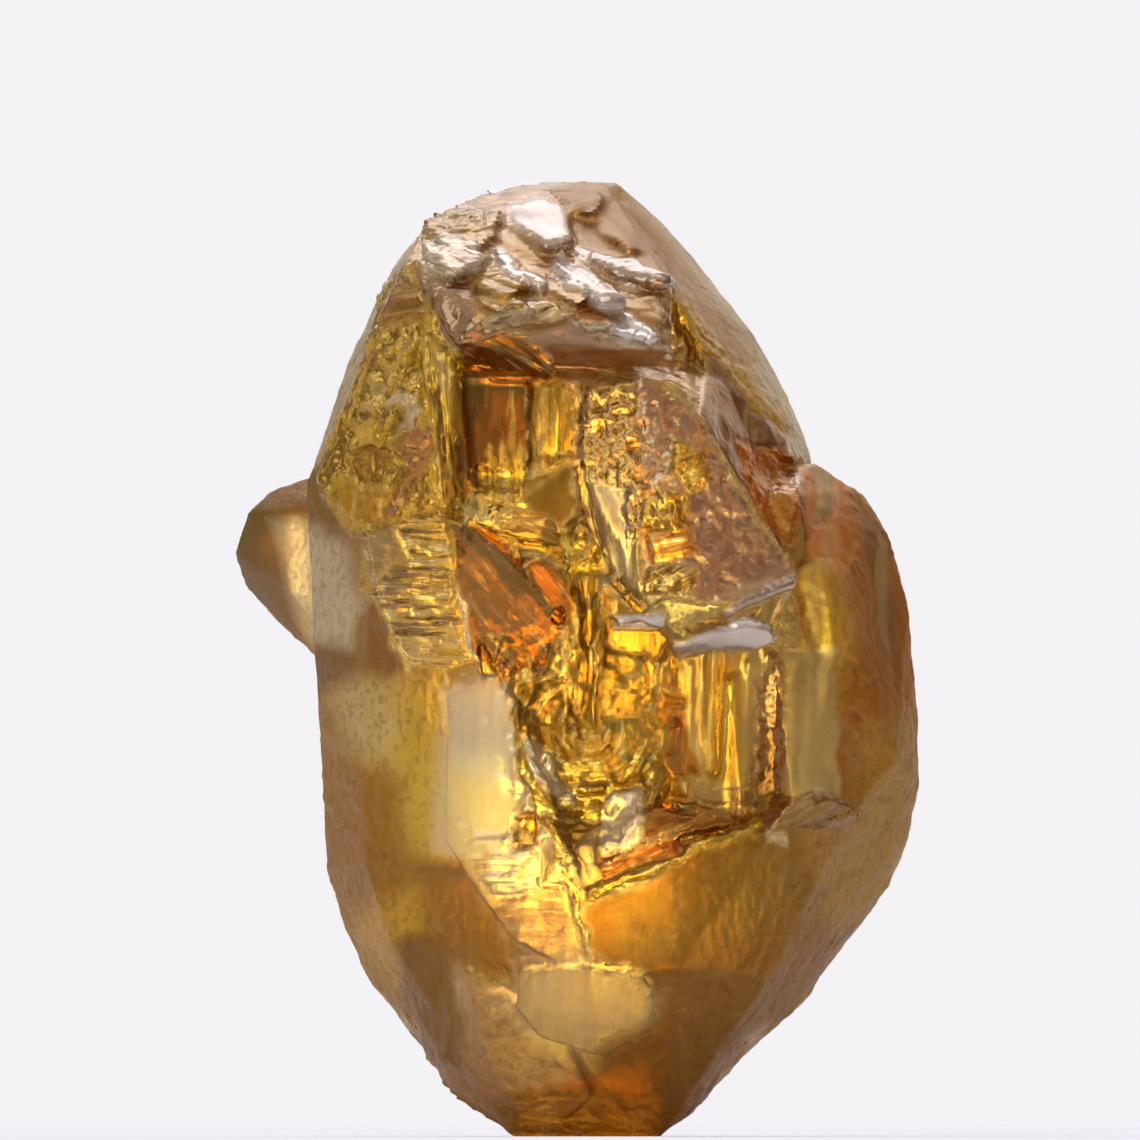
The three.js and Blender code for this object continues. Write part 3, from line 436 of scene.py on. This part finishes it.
          (-2.01, 10.45), (-2.14, 10.95)], angle=-35, pitch=0.2, lines=0.5, crumbs=0.2),
    frosted("cap slope", "mauve", [(-0.21, 11.6), (0.19, 11.72), (0.46, 11.97), (0.74, 11.55),
          (1.09, 10.93), (1.11, 10.6), (0.69, 10.88), (0.01, 11.05)], soft=0.1, lines=0.1, crumbs=0.1),
    # Painted reflection: lilac where the top of the cap mirrors the light.
    frosted("cap crown", "lilac", [(-0.44, 11.9), (-0.06, 12.0), (0.41, 11.95), (0.34, 11.7),
          (0.06, 11.6), (-0.24, 11.65)], soft=0.06, angle=-20, lines=0.3, crumbs=0.1, lift=0.03),
    Patch("cap blotches", "beige", [(-2.04, 11.5), (-1.66, 11.68), (-1.26, 11.55), (-1.29, 11.22),
          (-1.69, 11.12), (-1.99, 11.2)], soft=0.06, angle=-30, pitch=0.16, lines=0.4, crumbs=0.8),
    # Painted shadow: the dark crease under the cap plate.
    Patch("cap painted shadow", "mauve", [(-1.31, 11.28), (-0.96, 11.3), (-0.56, 10.95), (-0.21, 10.88),
          (-0.41, 10.75), (-0.86, 10.93)], soft=0.05),
    # Painted reflection: the plate's lilac stands for the light it mirrors.
    Patch("cap plate", "lilac", [(-0.96, 11.68), (-0.66, 11.8), (-0.39, 11.68), (-0.23, 11.38),
          (-0.16, 11.03), (-0.31, 10.91), (-0.54, 11.03), (-0.76, 11.2), (-0.96, 11.43)], angle=-55,
          lines=0.35, crumbs=0.0, lift=0.1, shine=0.4),
    Patch("cap scales", "cream", [(-2.05, 11.12), (-1.74, 11.2), (-1.39, 11.07), (-1.18, 10.9),
          (-1.26, 10.72), (-1.59, 10.66), (-1.89, 10.68), (-2.02, 10.9)], angle=-30, pitch=0.11,
          lines=0.9, crumbs=0.2, lift=0.06, shine=0.3),
    Patch("cap brow", "plum", [(-2.04, 10.72), (-1.81, 10.65), (-1.44, 10.68), (-1.34, 10.5),
          (-1.39, 10.28), (-1.24, 10.03), (-1.01, 9.93), (-0.62, 9.86), (-1.06, 9.79), (-1.44, 9.69),
          (-1.61, 9.74), (-1.81, 10.05), (-2.01, 10.4)], pitch=0.09, lines=0.0, crumbs=0.5, shine=0.18),
    Patch("cap layers", "tan", [(-1.36, 10.65), (-1.04, 10.75), (-0.61, 10.47), (-0.5, 10.32),
          (-0.81, 10.2), (-1.19, 10.15), (-1.39, 10.35)], angle=-14, pitch=0.09, lines=1.0),
    Patch("cap fan", "cream", [(-1.26, 10.12), (-1.06, 10.28), (-0.61, 10.38), (-0.19, 10.2),
          (-0.29, 10.05), (-0.69, 10.09), (-1.06, 9.97), (-1.24, 9.99)], soft=0.025, angle=10, pitch=0.08,
          lines=1.0, lift=0.03),
    # Painted highlight: a white thread on the cap.
    Patch("cap thread", "white", [(-1.21, 11.07), (-1.06, 11.05), (-0.81, 10.8), (-0.59, 10.6),
          (-0.41, 10.45), (-0.54, 10.38), (-0.76, 10.53), (-0.99, 10.75), (-1.19, 10.93)], soft=0.025,
          angle=-42, pitch=0.08, lines=0.5, lift=0.09, shine=0.5),
    # Painted shadow: the dark line under the cap tongue.
    Patch("cap tongue painted shadow", "mauve", [(-0.46, 10.68), (-0.06, 10.4), (0.34, 10.18), (0.26, 10.05),
          (-0.06, 10.18), (-0.41, 10.43)]),
    # Painted highlight: a white tongue on the cap.
    Patch("cap tongue", "white", [(-0.42, 10.88), (-0.29, 10.91), (0.06, 10.68), (0.33, 10.46),
          (0.44, 10.28), (0.31, 10.18), (0.04, 10.34), (-0.24, 10.54), (-0.4, 10.7)], soft=0.025,
          angle=-42, lines=0.5, lift=0.13, shine=0.4),
    Patch("cap blush", "fawn", [(0.06, 10.8), (0.81, 10.5), (1.04, 10.47), (0.94, 10.38), (0.46, 10.38),
          (0.19, 10.57)], angle=-15, lines=0.5),
    # Painted reflection: a lilac tongue on the cap.
    Patch("cap tongue right", "lilac", [(-0.19, 11.03), (0.06, 11.05), (0.44, 10.89), (0.84, 10.75),
          (1.06, 10.61), (1.02, 10.49), (0.79, 10.47), (0.44, 10.57), (0.09, 10.78)], soft=0.025,
          angle=-24, pitch=0.14, lines=0.6, crumbs=0.4, lift=0.09, shine=0.4),
    Patch("cap plate brown", "mauve", [(0.44, 10.47), (1.02, 10.46), (1.1, 10.01), (0.71, 10.06),
          (0.41, 10.2)], soft=0.025, angle=-70, lift=0.03),
    Patch("cap stripes", "cream", [(-0.21, 10.12), (0.19, 10.01), (1.11, 9.72), (1.06, 9.65),
          (0.19, 9.82), (-0.16, 9.97)], soft=0.019, angle=-20, pitch=0.08, lines=0.8, lift=0.05, shine=0.4),
    Patch("cap glint", "white", [(0.26, 10.06), (0.46, 10.12), (0.79, 10.01), (0.93, 9.86), (0.84, 9.79),
          (0.51, 9.85), (0.29, 9.95)], soft=0.019, angle=-25, lift=0.1, shine=1.0),
    Patch("lip", "mauve", [(-0.71, 9.9), (-0.2, 9.99), (0.31, 9.8), (1.11, 9.65), (1.1, 9.44),
          (0.34, 9.49), (-0.11, 9.25), (-0.34, 9.35), (-0.5, 9.62)], angle=-20, lines=0.25, shine=0.3),
    Patch("lip lens", "rust", [(-1.56, 9.74), (-1.24, 9.85), (-0.81, 9.88), (-0.5, 9.7), (-0.29, 9.4),
          (-0.56, 9.29), (-1.16, 9.38), (-1.51, 9.53)], soft=0.025, angle=-28, pitch=0.08, lines=0.6),
    # pitted face
    Patch("pitted left", "fawn", [(-0.11, 9.32), (0.69, 9.35), (0.84, 8.32), (0.71, 7.45), (0.19, 7.17),
          (-0.06, 7.45), (-0.16, 8.32)], soft=0.1, crumbs=1.0, pits=1.0),
    Patch("pitted right", "mauve", [(0.59, 9.53), (1.34, 9.03), (1.81, 8.11), (2.17, 7.44), (2.62, 6.97),
          (1.94, 6.55), (1.31, 6.67), (0.69, 7.17), (0.69, 8.32)], soft=0.05, angle=30, lines=0.1,
          crumbs=0.35, pits=0.8, shine=0.25),
    Patch("pitted strip", "beige", [(0.01, 8.2), (0.51, 7.95), (0.59, 6.7), (0.84, 6.38), (0.34, 6.7),
          (0.06, 7.45)], soft=0.05, lines=0.1, crumbs=0.0, shine=0.3),
    Patch("pitted gold", "bronze", [(0.69, 7.97), (1.31, 7.95), (1.26, 7.38), (0.69, 7.38)], soft=0.08,
          crumbs=0.6, pits=0.8),
    Patch("pitted glint", "honey", [(1.06, 8.6), (1.44, 8.53), (1.56, 8.07), (1.31, 7.92), (1.09, 8.2)],
          angle=20, lines=0.8, crumbs=0.8),
    Patch("pitted orange", "orange", [(0.69, 7.45), (1.36, 7.5), (1.44, 7.17), (0.81, 7.0)], soft=0.05,
          angle=15, lines=0.8),
    Patch("pitted foot", "beige", [(0.69, 7.08), (1.46, 7.03), (1.31, 6.67), (0.69, 6.67)], soft=0.05,
          angle=28, pitch=0.1, lines=1.0, crumbs=0.6, pits=0.5),
    # Painted shade: a facet turned away from the light, painted rust.
    Patch("painted shade edge", "rust", [(1.14, 10.07), (1.44, 9.82), (2.04, 9.2), (2.56, 8.7), (2.76, 7.95),
          (2.84, 7.08), (2.65, 6.97), (2.29, 7.44), (1.89, 8.11), (1.44, 8.95)], soft=0.05),
    Patch("edge glow", "orange", [(1.91, 8.62), (2.41, 8.55), (2.69, 8.0), (2.56, 7.33), (2.24, 7.65),
          (1.99, 8.12)], soft=0.05, angle=120, lines=0.5, crumbs=0.5),
    # middle
    Patch("red shard", "umber", [(-1.71, 7.6), (-1.31, 7.58), (-0.86, 7.22), (-0.31, 6.72), (-0.16, 6.33),
          (-0.5, 5.8), (-1.06, 5.6), (-1.31, 5.95), (-1.51, 6.58), (-1.64, 7.08)], soft=0.025, angle=-52,
          pitch=0.09, lines=0.2, crumbs=0.2, shine=0.04),
    Patch("red shard foot", "umber", [(-1.39, 6.3), (-0.81, 6.17), (-0.41, 5.92), (-1.06, 5.6)],
          soft=0.08, angle=-50, lines=0.5, crumbs=0.2),
    Patch("second shard", "rust", [(-0.84, 7.2), (-0.31, 7.03), (-0.09, 6.7), (-0.14, 6.2), (-0.5, 6.45),
          (-0.81, 6.83)], soft=0.025, angle=-52, pitch=0.1, lines=0.2),
    Patch("woody ribs", "bark", [(-0.16, 7.03), (0.21, 6.95), (0.29, 6.2), (0.21, 4.9), (-0.14, 4.9),
          (-0.19, 6.2)], pitch=0.08, lines=1.0, crumbs=0.2, rough=0.25),
    Patch("below pitted", "tan", [(0.21, 6.72), (0.84, 6.42), (1.11, 6.05), (1.31, 5.45), (0.81, 5.58),
          (0.24, 6.2)], soft=0.05),
    # Painted highlight: lilac lines where the broken edge catches the light.
    Patch("lines painted highlight", "lilac", [(1.66, 6.44), (2.31, 6.83), (2.64, 6.99), (2.59, 6.75), (2.25, 6.62),
          (1.81, 6.41)], soft=0.025, angle=25, pitch=0.09, lines=1.0, lift=0.06, shine=0.6),
    # Painted highlight: the shard is tinted white; its lift also tilts it towards the light.
    Patch("shard painted highlight", "white", [(1.06, 6.01), (1.44, 6.26), (1.94, 6.41), (2.27, 6.28), (2.06, 6.16),
          (1.44, 6.06), (1.14, 5.91)], soft=0.013, angle=-50, lines=0.2, lift=0.26, shine=1.0),
    # Painted highlight: a thin white thread beside the shard.
    Patch("thread painted highlight", "white", [(0.36, 6.44), (0.99, 6.44), (0.96, 6.33), (0.41, 6.31)], soft=0.019,
          angle=-60, lift=0.12, shine=1.0),
    # Painted shadow: the dark strip beside the shard.
    Patch("shard painted shadow", "plum", [(1.11, 6.3), (1.69, 6.49), (1.84, 6.35), (1.31, 6.2)], soft=0.019),
    Patch("scales", "bark", [(-0.88, 5.58), (-0.31, 5.7), (-0.12, 5.2), (0.19, 4.95), (0.19, 6.08),
          (0.69, 6.0), (1.02, 4.95), (1.02, 4.33), (0.69, 3.42), (0.19, 2.92), (-0.06, 2.92),
          (-0.14, 3.45), (-0.56, 3.8), (-0.81, 4.58), (-0.9, 5.2)], soft=0.025, pitch=0.085, lines=0.6,
          crumbs=0.45, rough=0.26, centre=(0.0, 5.08)),
    Patch("scales top", "bark", [(0.21, 6.1), (0.69, 5.95), (0.71, 5.17), (0.31, 5.17), (0.19, 5.58)],
          soft=0.025, crumbs=0.6, rough=0.3),
    Patch("scales left", "cream", [(-0.79, 5.03), (-0.49, 4.72), (-0.16, 4.17), (-0.31, 4.12),
          (-0.65, 4.51)], soft=0.025, angle=-60, lift=0.08, shine=0.5),
    Patch("scales foot", "cream", [(0.24, 4.2), (0.71, 4.33), (0.69, 3.55), (0.31, 3.35), (0.19, 3.7)],
          soft=0.025, crumbs=0.3, rough=0.3, lift=0.05, shine=0.3),
    Patch("scales tip", "beige", [(-0.26, 3.42), (0.14, 3.83), (0.21, 3.17), (-0.14, 3.1)], soft=0.025,
          crumbs=0.2, rough=0.3, lift=0.08),
    Patch("columns", "straw", [(1.26, 6.03), (3.11, 6.08), (3.16, 4.17), (2.19, 3.98), (1.44, 4.15),
          (1.26, 5.2)], pitch=0.3, lines=0.12, rough=0.3),
    Patch("column gold", "honey", [(1.44, 5.9), (1.94, 5.9), (1.94, 4.45), (1.49, 4.45)], soft=0.13,
          pitch=0.3, lines=0.12, rough=0.3),
    Patch("column yellow", "yellow", [(1.64, 5.58), (1.8, 5.58), (1.8, 4.42), (1.66, 4.42)], soft=0.06,
          pitch=0.3, lines=0.1),
    Patch("column speckled", "fawn", [(2.16, 6.08), (2.48, 6.08), (2.44, 4.17), (2.06, 4.17)], crumbs=0.7),
    Patch("column straw", "straw", [(2.71, 5.7), (3.1, 5.7), (3.1, 4.2), (2.76, 4.2)], soft=0.1,
          pitch=0.3, lines=0.1, rough=0.3),
    Patch("column dark", "rust", [(1.01, 5.28), (1.24, 5.3), (1.27, 4.4), (1.04, 4.4)], soft=0.025),
    Patch("column foot", "beige", [(1.26, 4.42), (2.19, 4.33), (2.19, 4.01), (1.31, 4.17)], soft=0.08,
          angle=0),
    # ledge
    Patch("ledge chips", "rust", [(0.19, 3.42), (0.69, 3.7), (0.81, 4.17), (1.44, 4.17), (1.91, 3.95),
          (2.21, 3.88), (1.44, 3.55), (0.69, 3.17), (0.19, 3.05)], angle=20, crumbs=0.4),
    Patch("ledge line", "yellow", [(-0.04, 2.92), (0.44, 3.29), (1.06, 3.46), (1.69, 3.77), (2.26, 3.91),
          (2.29, 3.8), (1.69, 3.61), (1.09, 3.36), (0.5, 3.15), (0.04, 2.88)], soft=0.025, angle=25,
          pitch=0.1, lines=1.0, crumbs=0.5, lift=0.06),
    Patch("ledge tip", "cream", [(2.25, 3.89), (2.51, 3.76), (2.48, 3.56), (2.29, 3.66)], soft=0.025,
          lift=0.08),
    Patch("ledge right", "mauve", [(2.29, 4.17), (3.06, 4.28), (3.51, 4.05), (3.19, 3.81), (2.69, 3.81),
          (2.31, 3.75), (2.19, 3.92)], angle=25, lines=0.6, crumbs=0.4),
]


def depth_inside(spots, outline):
    """How far each spot is inside a closed outline, negative outside it."""
    nearest = np.full(len(spots), 1e9)
    inside = np.zeros(len(spots), bool)
    for a, b in zip(outline, np.roll(outline, -1, axis=0)):
        edge = b - a
        share = np.clip((spots - a) @ edge / (edge @ edge), 0, 1)
        nearest = np.minimum(nearest, np.linalg.norm(spots - a - share[:, None] * edge, axis=-1))
        crosses = (a[1] > spots[:, 1]) != (b[1] > spots[:, 1])
        rise = edge[1] if abs(edge[1]) > 1e-9 else 1.0
        inside ^= crosses & (spots[:, 0] < a[0] + (spots[:, 1] - a[1]) / rise * edge[0])
    return np.where(inside, nearest, -nearest)


class Surface:
    """Everything that varies over the stone, one value for each point of the mesh."""

    VARIED = ("tint", "lines", "crumbs", "rough", "pits", "shine")

    def __init__(self, points, normals):
        self.points = points
        self.front = smooth_step(*FADE, normals[:, 1])
        self.start_all_round()
        flat = points * np.array([1, 0, 1]) / RAGGED_RUN
        ragged = np.stack([fractal(flat, 3, seed=5), fractal(flat, 3, seed=9)], axis=-1)
        spots = points[:, [0, 2]] + RAGGED * ragged
        calm = np.ones(len(points))
        for number, patch in enumerate(PATCHES):
            depth = depth_inside(spots, patch.outline)
            near_edge = smooth_step(0, CALM_EDGE, np.abs(depth))
            calm = np.where(depth > 0, near_edge, np.minimum(calm, near_edge))
            self.lay(patch, number, depth)
        self.lines *= calm

    def start_all_round(self):
        """What the sides and the back look like, and the front wherever no patch lies."""
        points = self.points
        none = np.zeros(len(points))
        pale = smooth_step(0, 0.5, fractal(points / SIDE_TINT_RUN, 3, seed=40))[:, None]
        self.tint = (1 - pale) * linear(TINTS["amber"]) + pale * linear(TINTS["straw"])
        self.lines = varied(points, *SIDE_LINES, seed=44)
        self.crumbs = varied(points, *SIDE_CRUMBS, seed=48, start=0.1)
        self.rough = varied(points, *SIDE_ROUGHNESS, seed=52)
        self.lift = none.copy()
        self.pits = none.copy()
        self.shine = none.copy()
        spacing, length = SIDE_GRAIN
        across = points[:, 0] * 0.8 + points[:, 1] * 0.6
        self.grain = np.stack([across / spacing, points[:, 2] / length, none], axis=-1)

    def lay(self, patch, number, depth):
        """Lays one patch over what is there; depth is how far each point is inside it."""
        raised = self.front * smooth_step(-FLAKE_EDGE, FLAKE_EDGE, depth)
        self.lift += raised * (patch.height(self.points, depth > 0) - self.lift)
        share = self.front * smooth_step(-patch.soft, patch.soft, depth)
        touched = share > 0.002         # below this nothing shows
        for field in self.VARIED:
            values = getattr(self, field)
            part = share[touched, None] if field == "tint" else share[touched]
            values[touched] += part * (getattr(patch, field) - values[touched])
        taken = share > 0.5
        along, aside = patch.run(self.points[taken])
        own = np.full(len(along), LINE_SHIFT * number)
        length = LINE_LENGTH * patch.pitch
        self.grain[taken] = np.stack([aside / patch.pitch, along / length, own], axis=-1)


def terraces(grain, width, seed):
    """Layers that rise slowly and end in a sharp edge, 0 to 1, across the fine lines."""
    coarse = grain * np.array([LAYER_CALM, 1.0, 1.0])
    level = grain[:, 0] / width + LAYER_WANDER * fractal(coarse, 3, seed)
    rise = level - np.floor(level)
    return rise - smooth_step(LAYER_DROP, 1.0, rise)


def relief(points, surface):
    """Height of the fine forms over the solid's faces, mm."""
    bend = np.stack([fractal(points / BEND_SIZE, 2, seed=60 + k) for k in range(3)], axis=-1)
    layers = terraces(surface.grain, LAYER_WIDTH, seed=80)
    near, second, own = scattered(points / LUMP_SIZE + LUMP_BEND * bend, seed=90)
    groove = smooth_step(0, GROOVE_WIDTH, second - near)
    lumps = LUMP_STEP * own - LUMP_SLOPE * near + LUMP_GROOVE * groove
    wrinkles = 1 - 2 * np.abs(fractal(points / WRINKLE_SIZE + WRINKLE_BEND * bend, 3, seed=100))
    swell = fractal(points / SWELL_SIZE, 2, seed=110)
    pit = smooth_step(*PIT_RIM, scattered(points / PIT_SPACING, seed=95)[0])
    return (LAYERS * surface.lines * layers + surface.crumbs * (LUMPS * lumps + WRINKLES * wrinkles)
            + SWELL * swell + surface.lift - PIT * surface.pits * pit - SINK)


def store(mesh, name, kind, values):
    """Keeps one value for each point under a name that the material reads."""
    attribute = mesh.attributes.new(name, kind, "POINT")
    field = "color" if kind == "FLOAT_COLOR" else "vector"
    attribute.data.foreach_set(field, values.astype(np.float32).ravel())


def dress(stone):
    """Raises the fine relief, paints shade into its hollows, and stores what the material reads."""
    mesh = stone.data
    points, normals = points_of(mesh), points_of(mesh, "normal")
    surface = Surface(points, normals)
    height = relief(points, surface) * smooth_step(*FOOT, points[:, 2])
    # Painted shade: the hollows of the relief are darkened towards rust.
    sunk = PAINTED_SHADE_SHARE * surface.front * smooth_step(*PAINTED_SHADE_DEPTHS, surface.lift - height)
    surface.tint += sunk[:, None] * (linear(TINTS["rust"]) - surface.tint)
    set_points(mesh, (points + normals * height[:, None]) * MM)
    finish = np.stack([surface.lines, surface.crumbs, surface.rough], axis=-1)
    store(mesh, "tint", "FLOAT_COLOR", np.column_stack([surface.tint, np.ones(len(points))]))
    store(mesh, "finish", "FLOAT_VECTOR", finish)
    store(mesh, "shine", "FLOAT_VECTOR", np.stack([surface.shine] * 3, axis=-1))
    store(mesh, "grain", "FLOAT_VECTOR", surface.grain)
    mesh.shade_smooth()


# ---- material ----
def add_node(tree, kind, links=None, **values):
    """A node with its sockets linked or set; names that aren't sockets are the node's own settings."""
    node = tree.nodes.new(kind)
    for name, value in values.items():
        if name in node.inputs:
            node.inputs[name].default_value = value
        else:
            setattr(node, name, value)
    for name, source in (links or {}).items():
        tree.links.new(source, node.inputs[name])
    return node


def arithmetic(tree, operation, *terms):
    """A sum, product or the like of sockets and plain numbers."""
    node = add_node(tree, "ShaderNodeMath", operation=operation)
    for socket, term in zip(node.inputs, terms):
        if isinstance(term, (int, float)):
            socket.default_value = term
        else:
            tree.links.new(term, socket)
    return node.outputs[0]


def map_range(tree, value, low, high, to_low=0.0, to_high=1.0):
    """Value carried smoothly from one range to another."""
    node = add_node(tree, "ShaderNodeMapRange", {"Value": value}, interpolation_type="SMOOTHSTEP")
    for name, end in (("From Min", low), ("From Max", high), ("To Min", to_low), ("To Max", to_high)):
        node.inputs[name].default_value = end
    return node.outputs["Result"]


def blend(tree, share, first, second):
    """Two colours mixed, each a socket or a plain colour."""
    node = add_node(tree, "ShaderNodeMixRGB", {"Fac": share})
    for name, colour in (("Color1", first), ("Color2", second)):
        if isinstance(colour, tuple):
            node.inputs[name].default_value = colour
        else:
            tree.links.new(colour, node.inputs[name])
    return node.outputs["Color"]


def stored(tree, name):
    """What is stored for each point of the mesh under a name."""
    return add_node(tree, "ShaderNodeAttribute", attribute_name=name).outputs


def fine_relief(tree, lines, line_depth, specks, crumb_depth):
    """The normal of a surface with fine lines and specks in it."""
    speck_depth = arithmetic(tree, "MULTIPLY_ADD", crumb_depth, *SPECK_DEPTH)
    line_height = arithmetic(tree, "MULTIPLY", lines, line_depth)
    height = arithmetic(tree, "MULTIPLY_ADD", specks, speck_depth, line_height)
    return add_node(tree, "ShaderNodeBump", {"Height": height}, Strength=1.0, Distance=BUMP).outputs["Normal"]


def streaked(tree, tint, lines, line_depth, specks, crumb_depth):
    """The tint with pale and dark streaks along the lines, and dark specks."""
    pale = map_range(tree, lines, *PALE_LINES, 0, PALE_SHARE)
    dark = arithmetic(tree, "MULTIPLY", map_range(tree, lines, *DARK_LINES), line_depth)
    speck = arithmetic(tree, "MULTIPLY", map_range(tree, specks, *DARK_SPECKS), crumb_depth)
    colour = blend(tree, arithmetic(tree, "MULTIPLY", pale, line_depth), tint, PALE_STREAK)
    return blend(tree, arithmetic(tree, "MAXIMUM", dark, speck), colour, DARK_STREAK)


def diamond():
    """See-through crystal, tinted patch by patch, with fine lines and specks in its surface."""
    material = bpy.data.materials.new("diamond")
    material.use_nodes = True
    tree = material.node_tree
    shader = tree.nodes["Principled BSDF"].inputs
    shader["Transmission Weight"].default_value = TRANSMISSION
    shader["IOR"].default_value = IOR
    shader["Specular Tint"].default_value = REFLECTION
    shader["Coat IOR"].default_value = SHINE_IOR
    shader["Coat Roughness"].default_value = SHINE_ROUGHNESS

    finish = add_node(tree, "ShaderNodeSeparateXYZ", {"Vector": stored(tree, "finish")["Vector"]})
    line_depth, crumb_depth, rough = finish.outputs
    grain = stored(tree, "grain")["Vector"]
    place = add_node(tree, "ShaderNodeTexCoord").outputs["Object"]
    lines = add_node(tree, "ShaderNodeTexNoise", {"Vector": grain}, Scale=1.0, Detail=2.0, Roughness=0.6)
    lines = lines.outputs["Fac"]
    specks = add_node(tree, "ShaderNodeTexNoise", {"Vector": place}, Scale=SPECKS, Detail=1.0).outputs["Fac"]
    normal = fine_relief(tree, lines, line_depth, specks, crumb_depth)
    colour = streaked(tree, stored(tree, "tint")["Color"], lines, line_depth, specks, crumb_depth)

    tree.links.new(colour, shader["Base Color"])
    tree.links.new(arithmetic(tree, "MULTIPLY_ADD", specks, SPECK_ROUGHNESS, rough), shader["Roughness"])
    tree.links.new(stored(tree, "shine")["Fac"], shader["Coat Weight"])
    tree.links.new(normal, shader["Normal"])
    tree.links.new(normal, shader["Coat Normal"])
    absorption = add_node(tree, "ShaderNodeVolumeAbsorption", Color=ABSORPTION, Density=DENSITY)
    tree.links.new(absorption.outputs["Volume"], tree.nodes["Material Output"].inputs["Volume"])
    return material


stone = refined_copy(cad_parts["rough_diamond"])
dress(stone)
stone.data.materials.append(diamond())
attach(stone, "root")
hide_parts("rough_diamond")


# ---- floor, light and camera ----
FLOOR_SIDE = 3.0                       # m
FLOOR_PAINT = (0.74, 0.74, 0.735, 1)
FLOOR_ROUGHNESS = 0.9
BACKDROP = (0.9, 0.885, 0.91, 1)
# Light round the stone: a dim room with soft round panels, each given by the way to it from the stone,
# the cosines at which its soft edge starts and ends, and its light.
ROOM = (0.16, 0.13, 0.1, 1)
PANELS = (
    ((0, 0, 1), 0.4, 0.7, (0.95, 0.92, 0.94, 1)),
    ((0, -1, 0.15), 0.6, 0.9, (0.45, 0.41, 0.46, 1)),
    ((0.1, 0.9, 0.35), 0.8, 0.95, (1.3, 1.15, 1.05, 1)),
    ((0, 0.99, 0.12), 0.94, 0.98, (1.5, 1.5, 1.6, 1)),
    ((0, 0.62, 0.78), 0.93, 0.97, (3.6, 3.5, 4.2, 1)),
    ((-0.55, -0.6, 0.6), 0.9, 0.95, (3.0, 3.1, 3.6, 1)),
    ((-0.9, 0.38, 0.18), 0.84, 0.95, (0.8, 0.74, 0.6, 1)),
)
# Light that comes out through the stone: a brighter room, with a narrow bright screen behind the stone.
ROOM_THROUGH = (0.5, 0.43, 0.3, 1)
PANELS_THROUGH = (
    ((0, 1, 0), 0.5, 0.9, (0.9, 0.8, 0.62, 1)),
    ((0, 0.62, 0.78), 0.93, 0.97, (3.6, 3.5, 4.2, 1)),
    ((0, 0.99, 0.12), 0.9, 0.97, (20.0, 19.6, 19.2, 1)),
)

VIEW_WIDTH = 14.25                     # mm that the frame takes in at the stone
EYE = (-0.1875, -250, 0.15)            # mm
TARGET = (-0.1875, 0, 7.075)           # mm

CLEAR_BOUNCES = 16                     # how many times a ray turns inside the stone,
GLOSSY_BOUNCES = 8                     # and how many of those are reflections
BRIGHTEST_BOUNCE = 10.0                # what stray bright points are held down to


def plain_floor():
    """A matt floor that the stone stands on."""
    bpy.ops.mesh.primitive_plane_add(size=FLOOR_SIDE)
    floor = bpy.context.object
    floor.name = "floor"
    paint = bpy.data.materials.new("floor")
    paint.use_nodes = True
    shader = paint.node_tree.nodes["Principled BSDF"].inputs
    shader["Base Color"].default_value = FLOOR_PAINT
    shader["Roughness"].default_value = FLOOR_ROUGHNESS
    shader["Specular IOR Level"].default_value = 0.0
    floor.data.materials.append(paint)


def room_with(tree, way, room, panels):
    """The light of a room with panels in it, seen along a way."""
    colour = room
    for towards, edge, full, panel in panels:
        facing = add_node(tree, "ShaderNodeVectorMath", operation="DOT_PRODUCT")
        tree.links.new(way, facing.inputs[0])
        facing.inputs[1].default_value = Vector(towards).normalized()
        colour = blend(tree, map_range(tree, facing.outputs["Value"], edge, full), colour, panel)
    return colour


def studio():
    """An even pale backdrop for the camera, and the room's light for everything else."""
    world = bpy.data.worlds.new("studio")
    bpy.context.scene.world = world
    world.use_nodes = True
    tree = world.node_tree
    tree.nodes.clear()
    way = add_node(tree, "ShaderNodeTexCoord").outputs["Generated"]
    path = add_node(tree, "ShaderNodeLightPath").outputs
    around = room_with(tree, way, ROOM, PANELS)
    through = room_with(tree, way, ROOM_THROUGH, PANELS_THROUGH)
    colour = blend(tree, path["Is Transmission Ray"], around, through)
    colour = blend(tree, path["Is Camera Ray"], colour, BACKDROP)
    light = add_node(tree, "ShaderNodeBackground", {"Color": colour}).outputs["Background"]
    add_node(tree, "ShaderNodeOutputWorld", {"Surface": light})


def look_at_stone():
    """A camera far in front of the stone, level with its foot, that takes in VIEW_WIDTH."""
    camera = bpy.data.objects.new("camera", bpy.data.cameras.new("camera"))
    bpy.context.scene.collection.objects.link(camera)
    eye, target = Vector(EYE) * MM, Vector(TARGET) * MM
    camera.location = eye
    camera.rotation_euler = (target - eye).to_track_quat("-Z", "Y").to_euler()
    camera.data.lens = camera.data.sensor_width * (target - eye).length / (VIEW_WIDTH * MM)
    camera.data.clip_start = MM
    bpy.context.scene.camera = camera


def light_paths():
    """Plain screen colours, and enough bounces for light to come out through the stone."""
    scene = bpy.context.scene
    scene.view_settings.view_transform = "Standard"
    scene.cycles.sample_clamp_indirect = BRIGHTEST_BOUNCE
    scene.cycles.max_bounces = CLEAR_BOUNCES
    scene.cycles.transmission_bounces = CLEAR_BOUNCES
    scene.cycles.glossy_bounces = GLOSSY_BOUNCES


plain_floor()
studio()
look_at_stone()
light_paths()
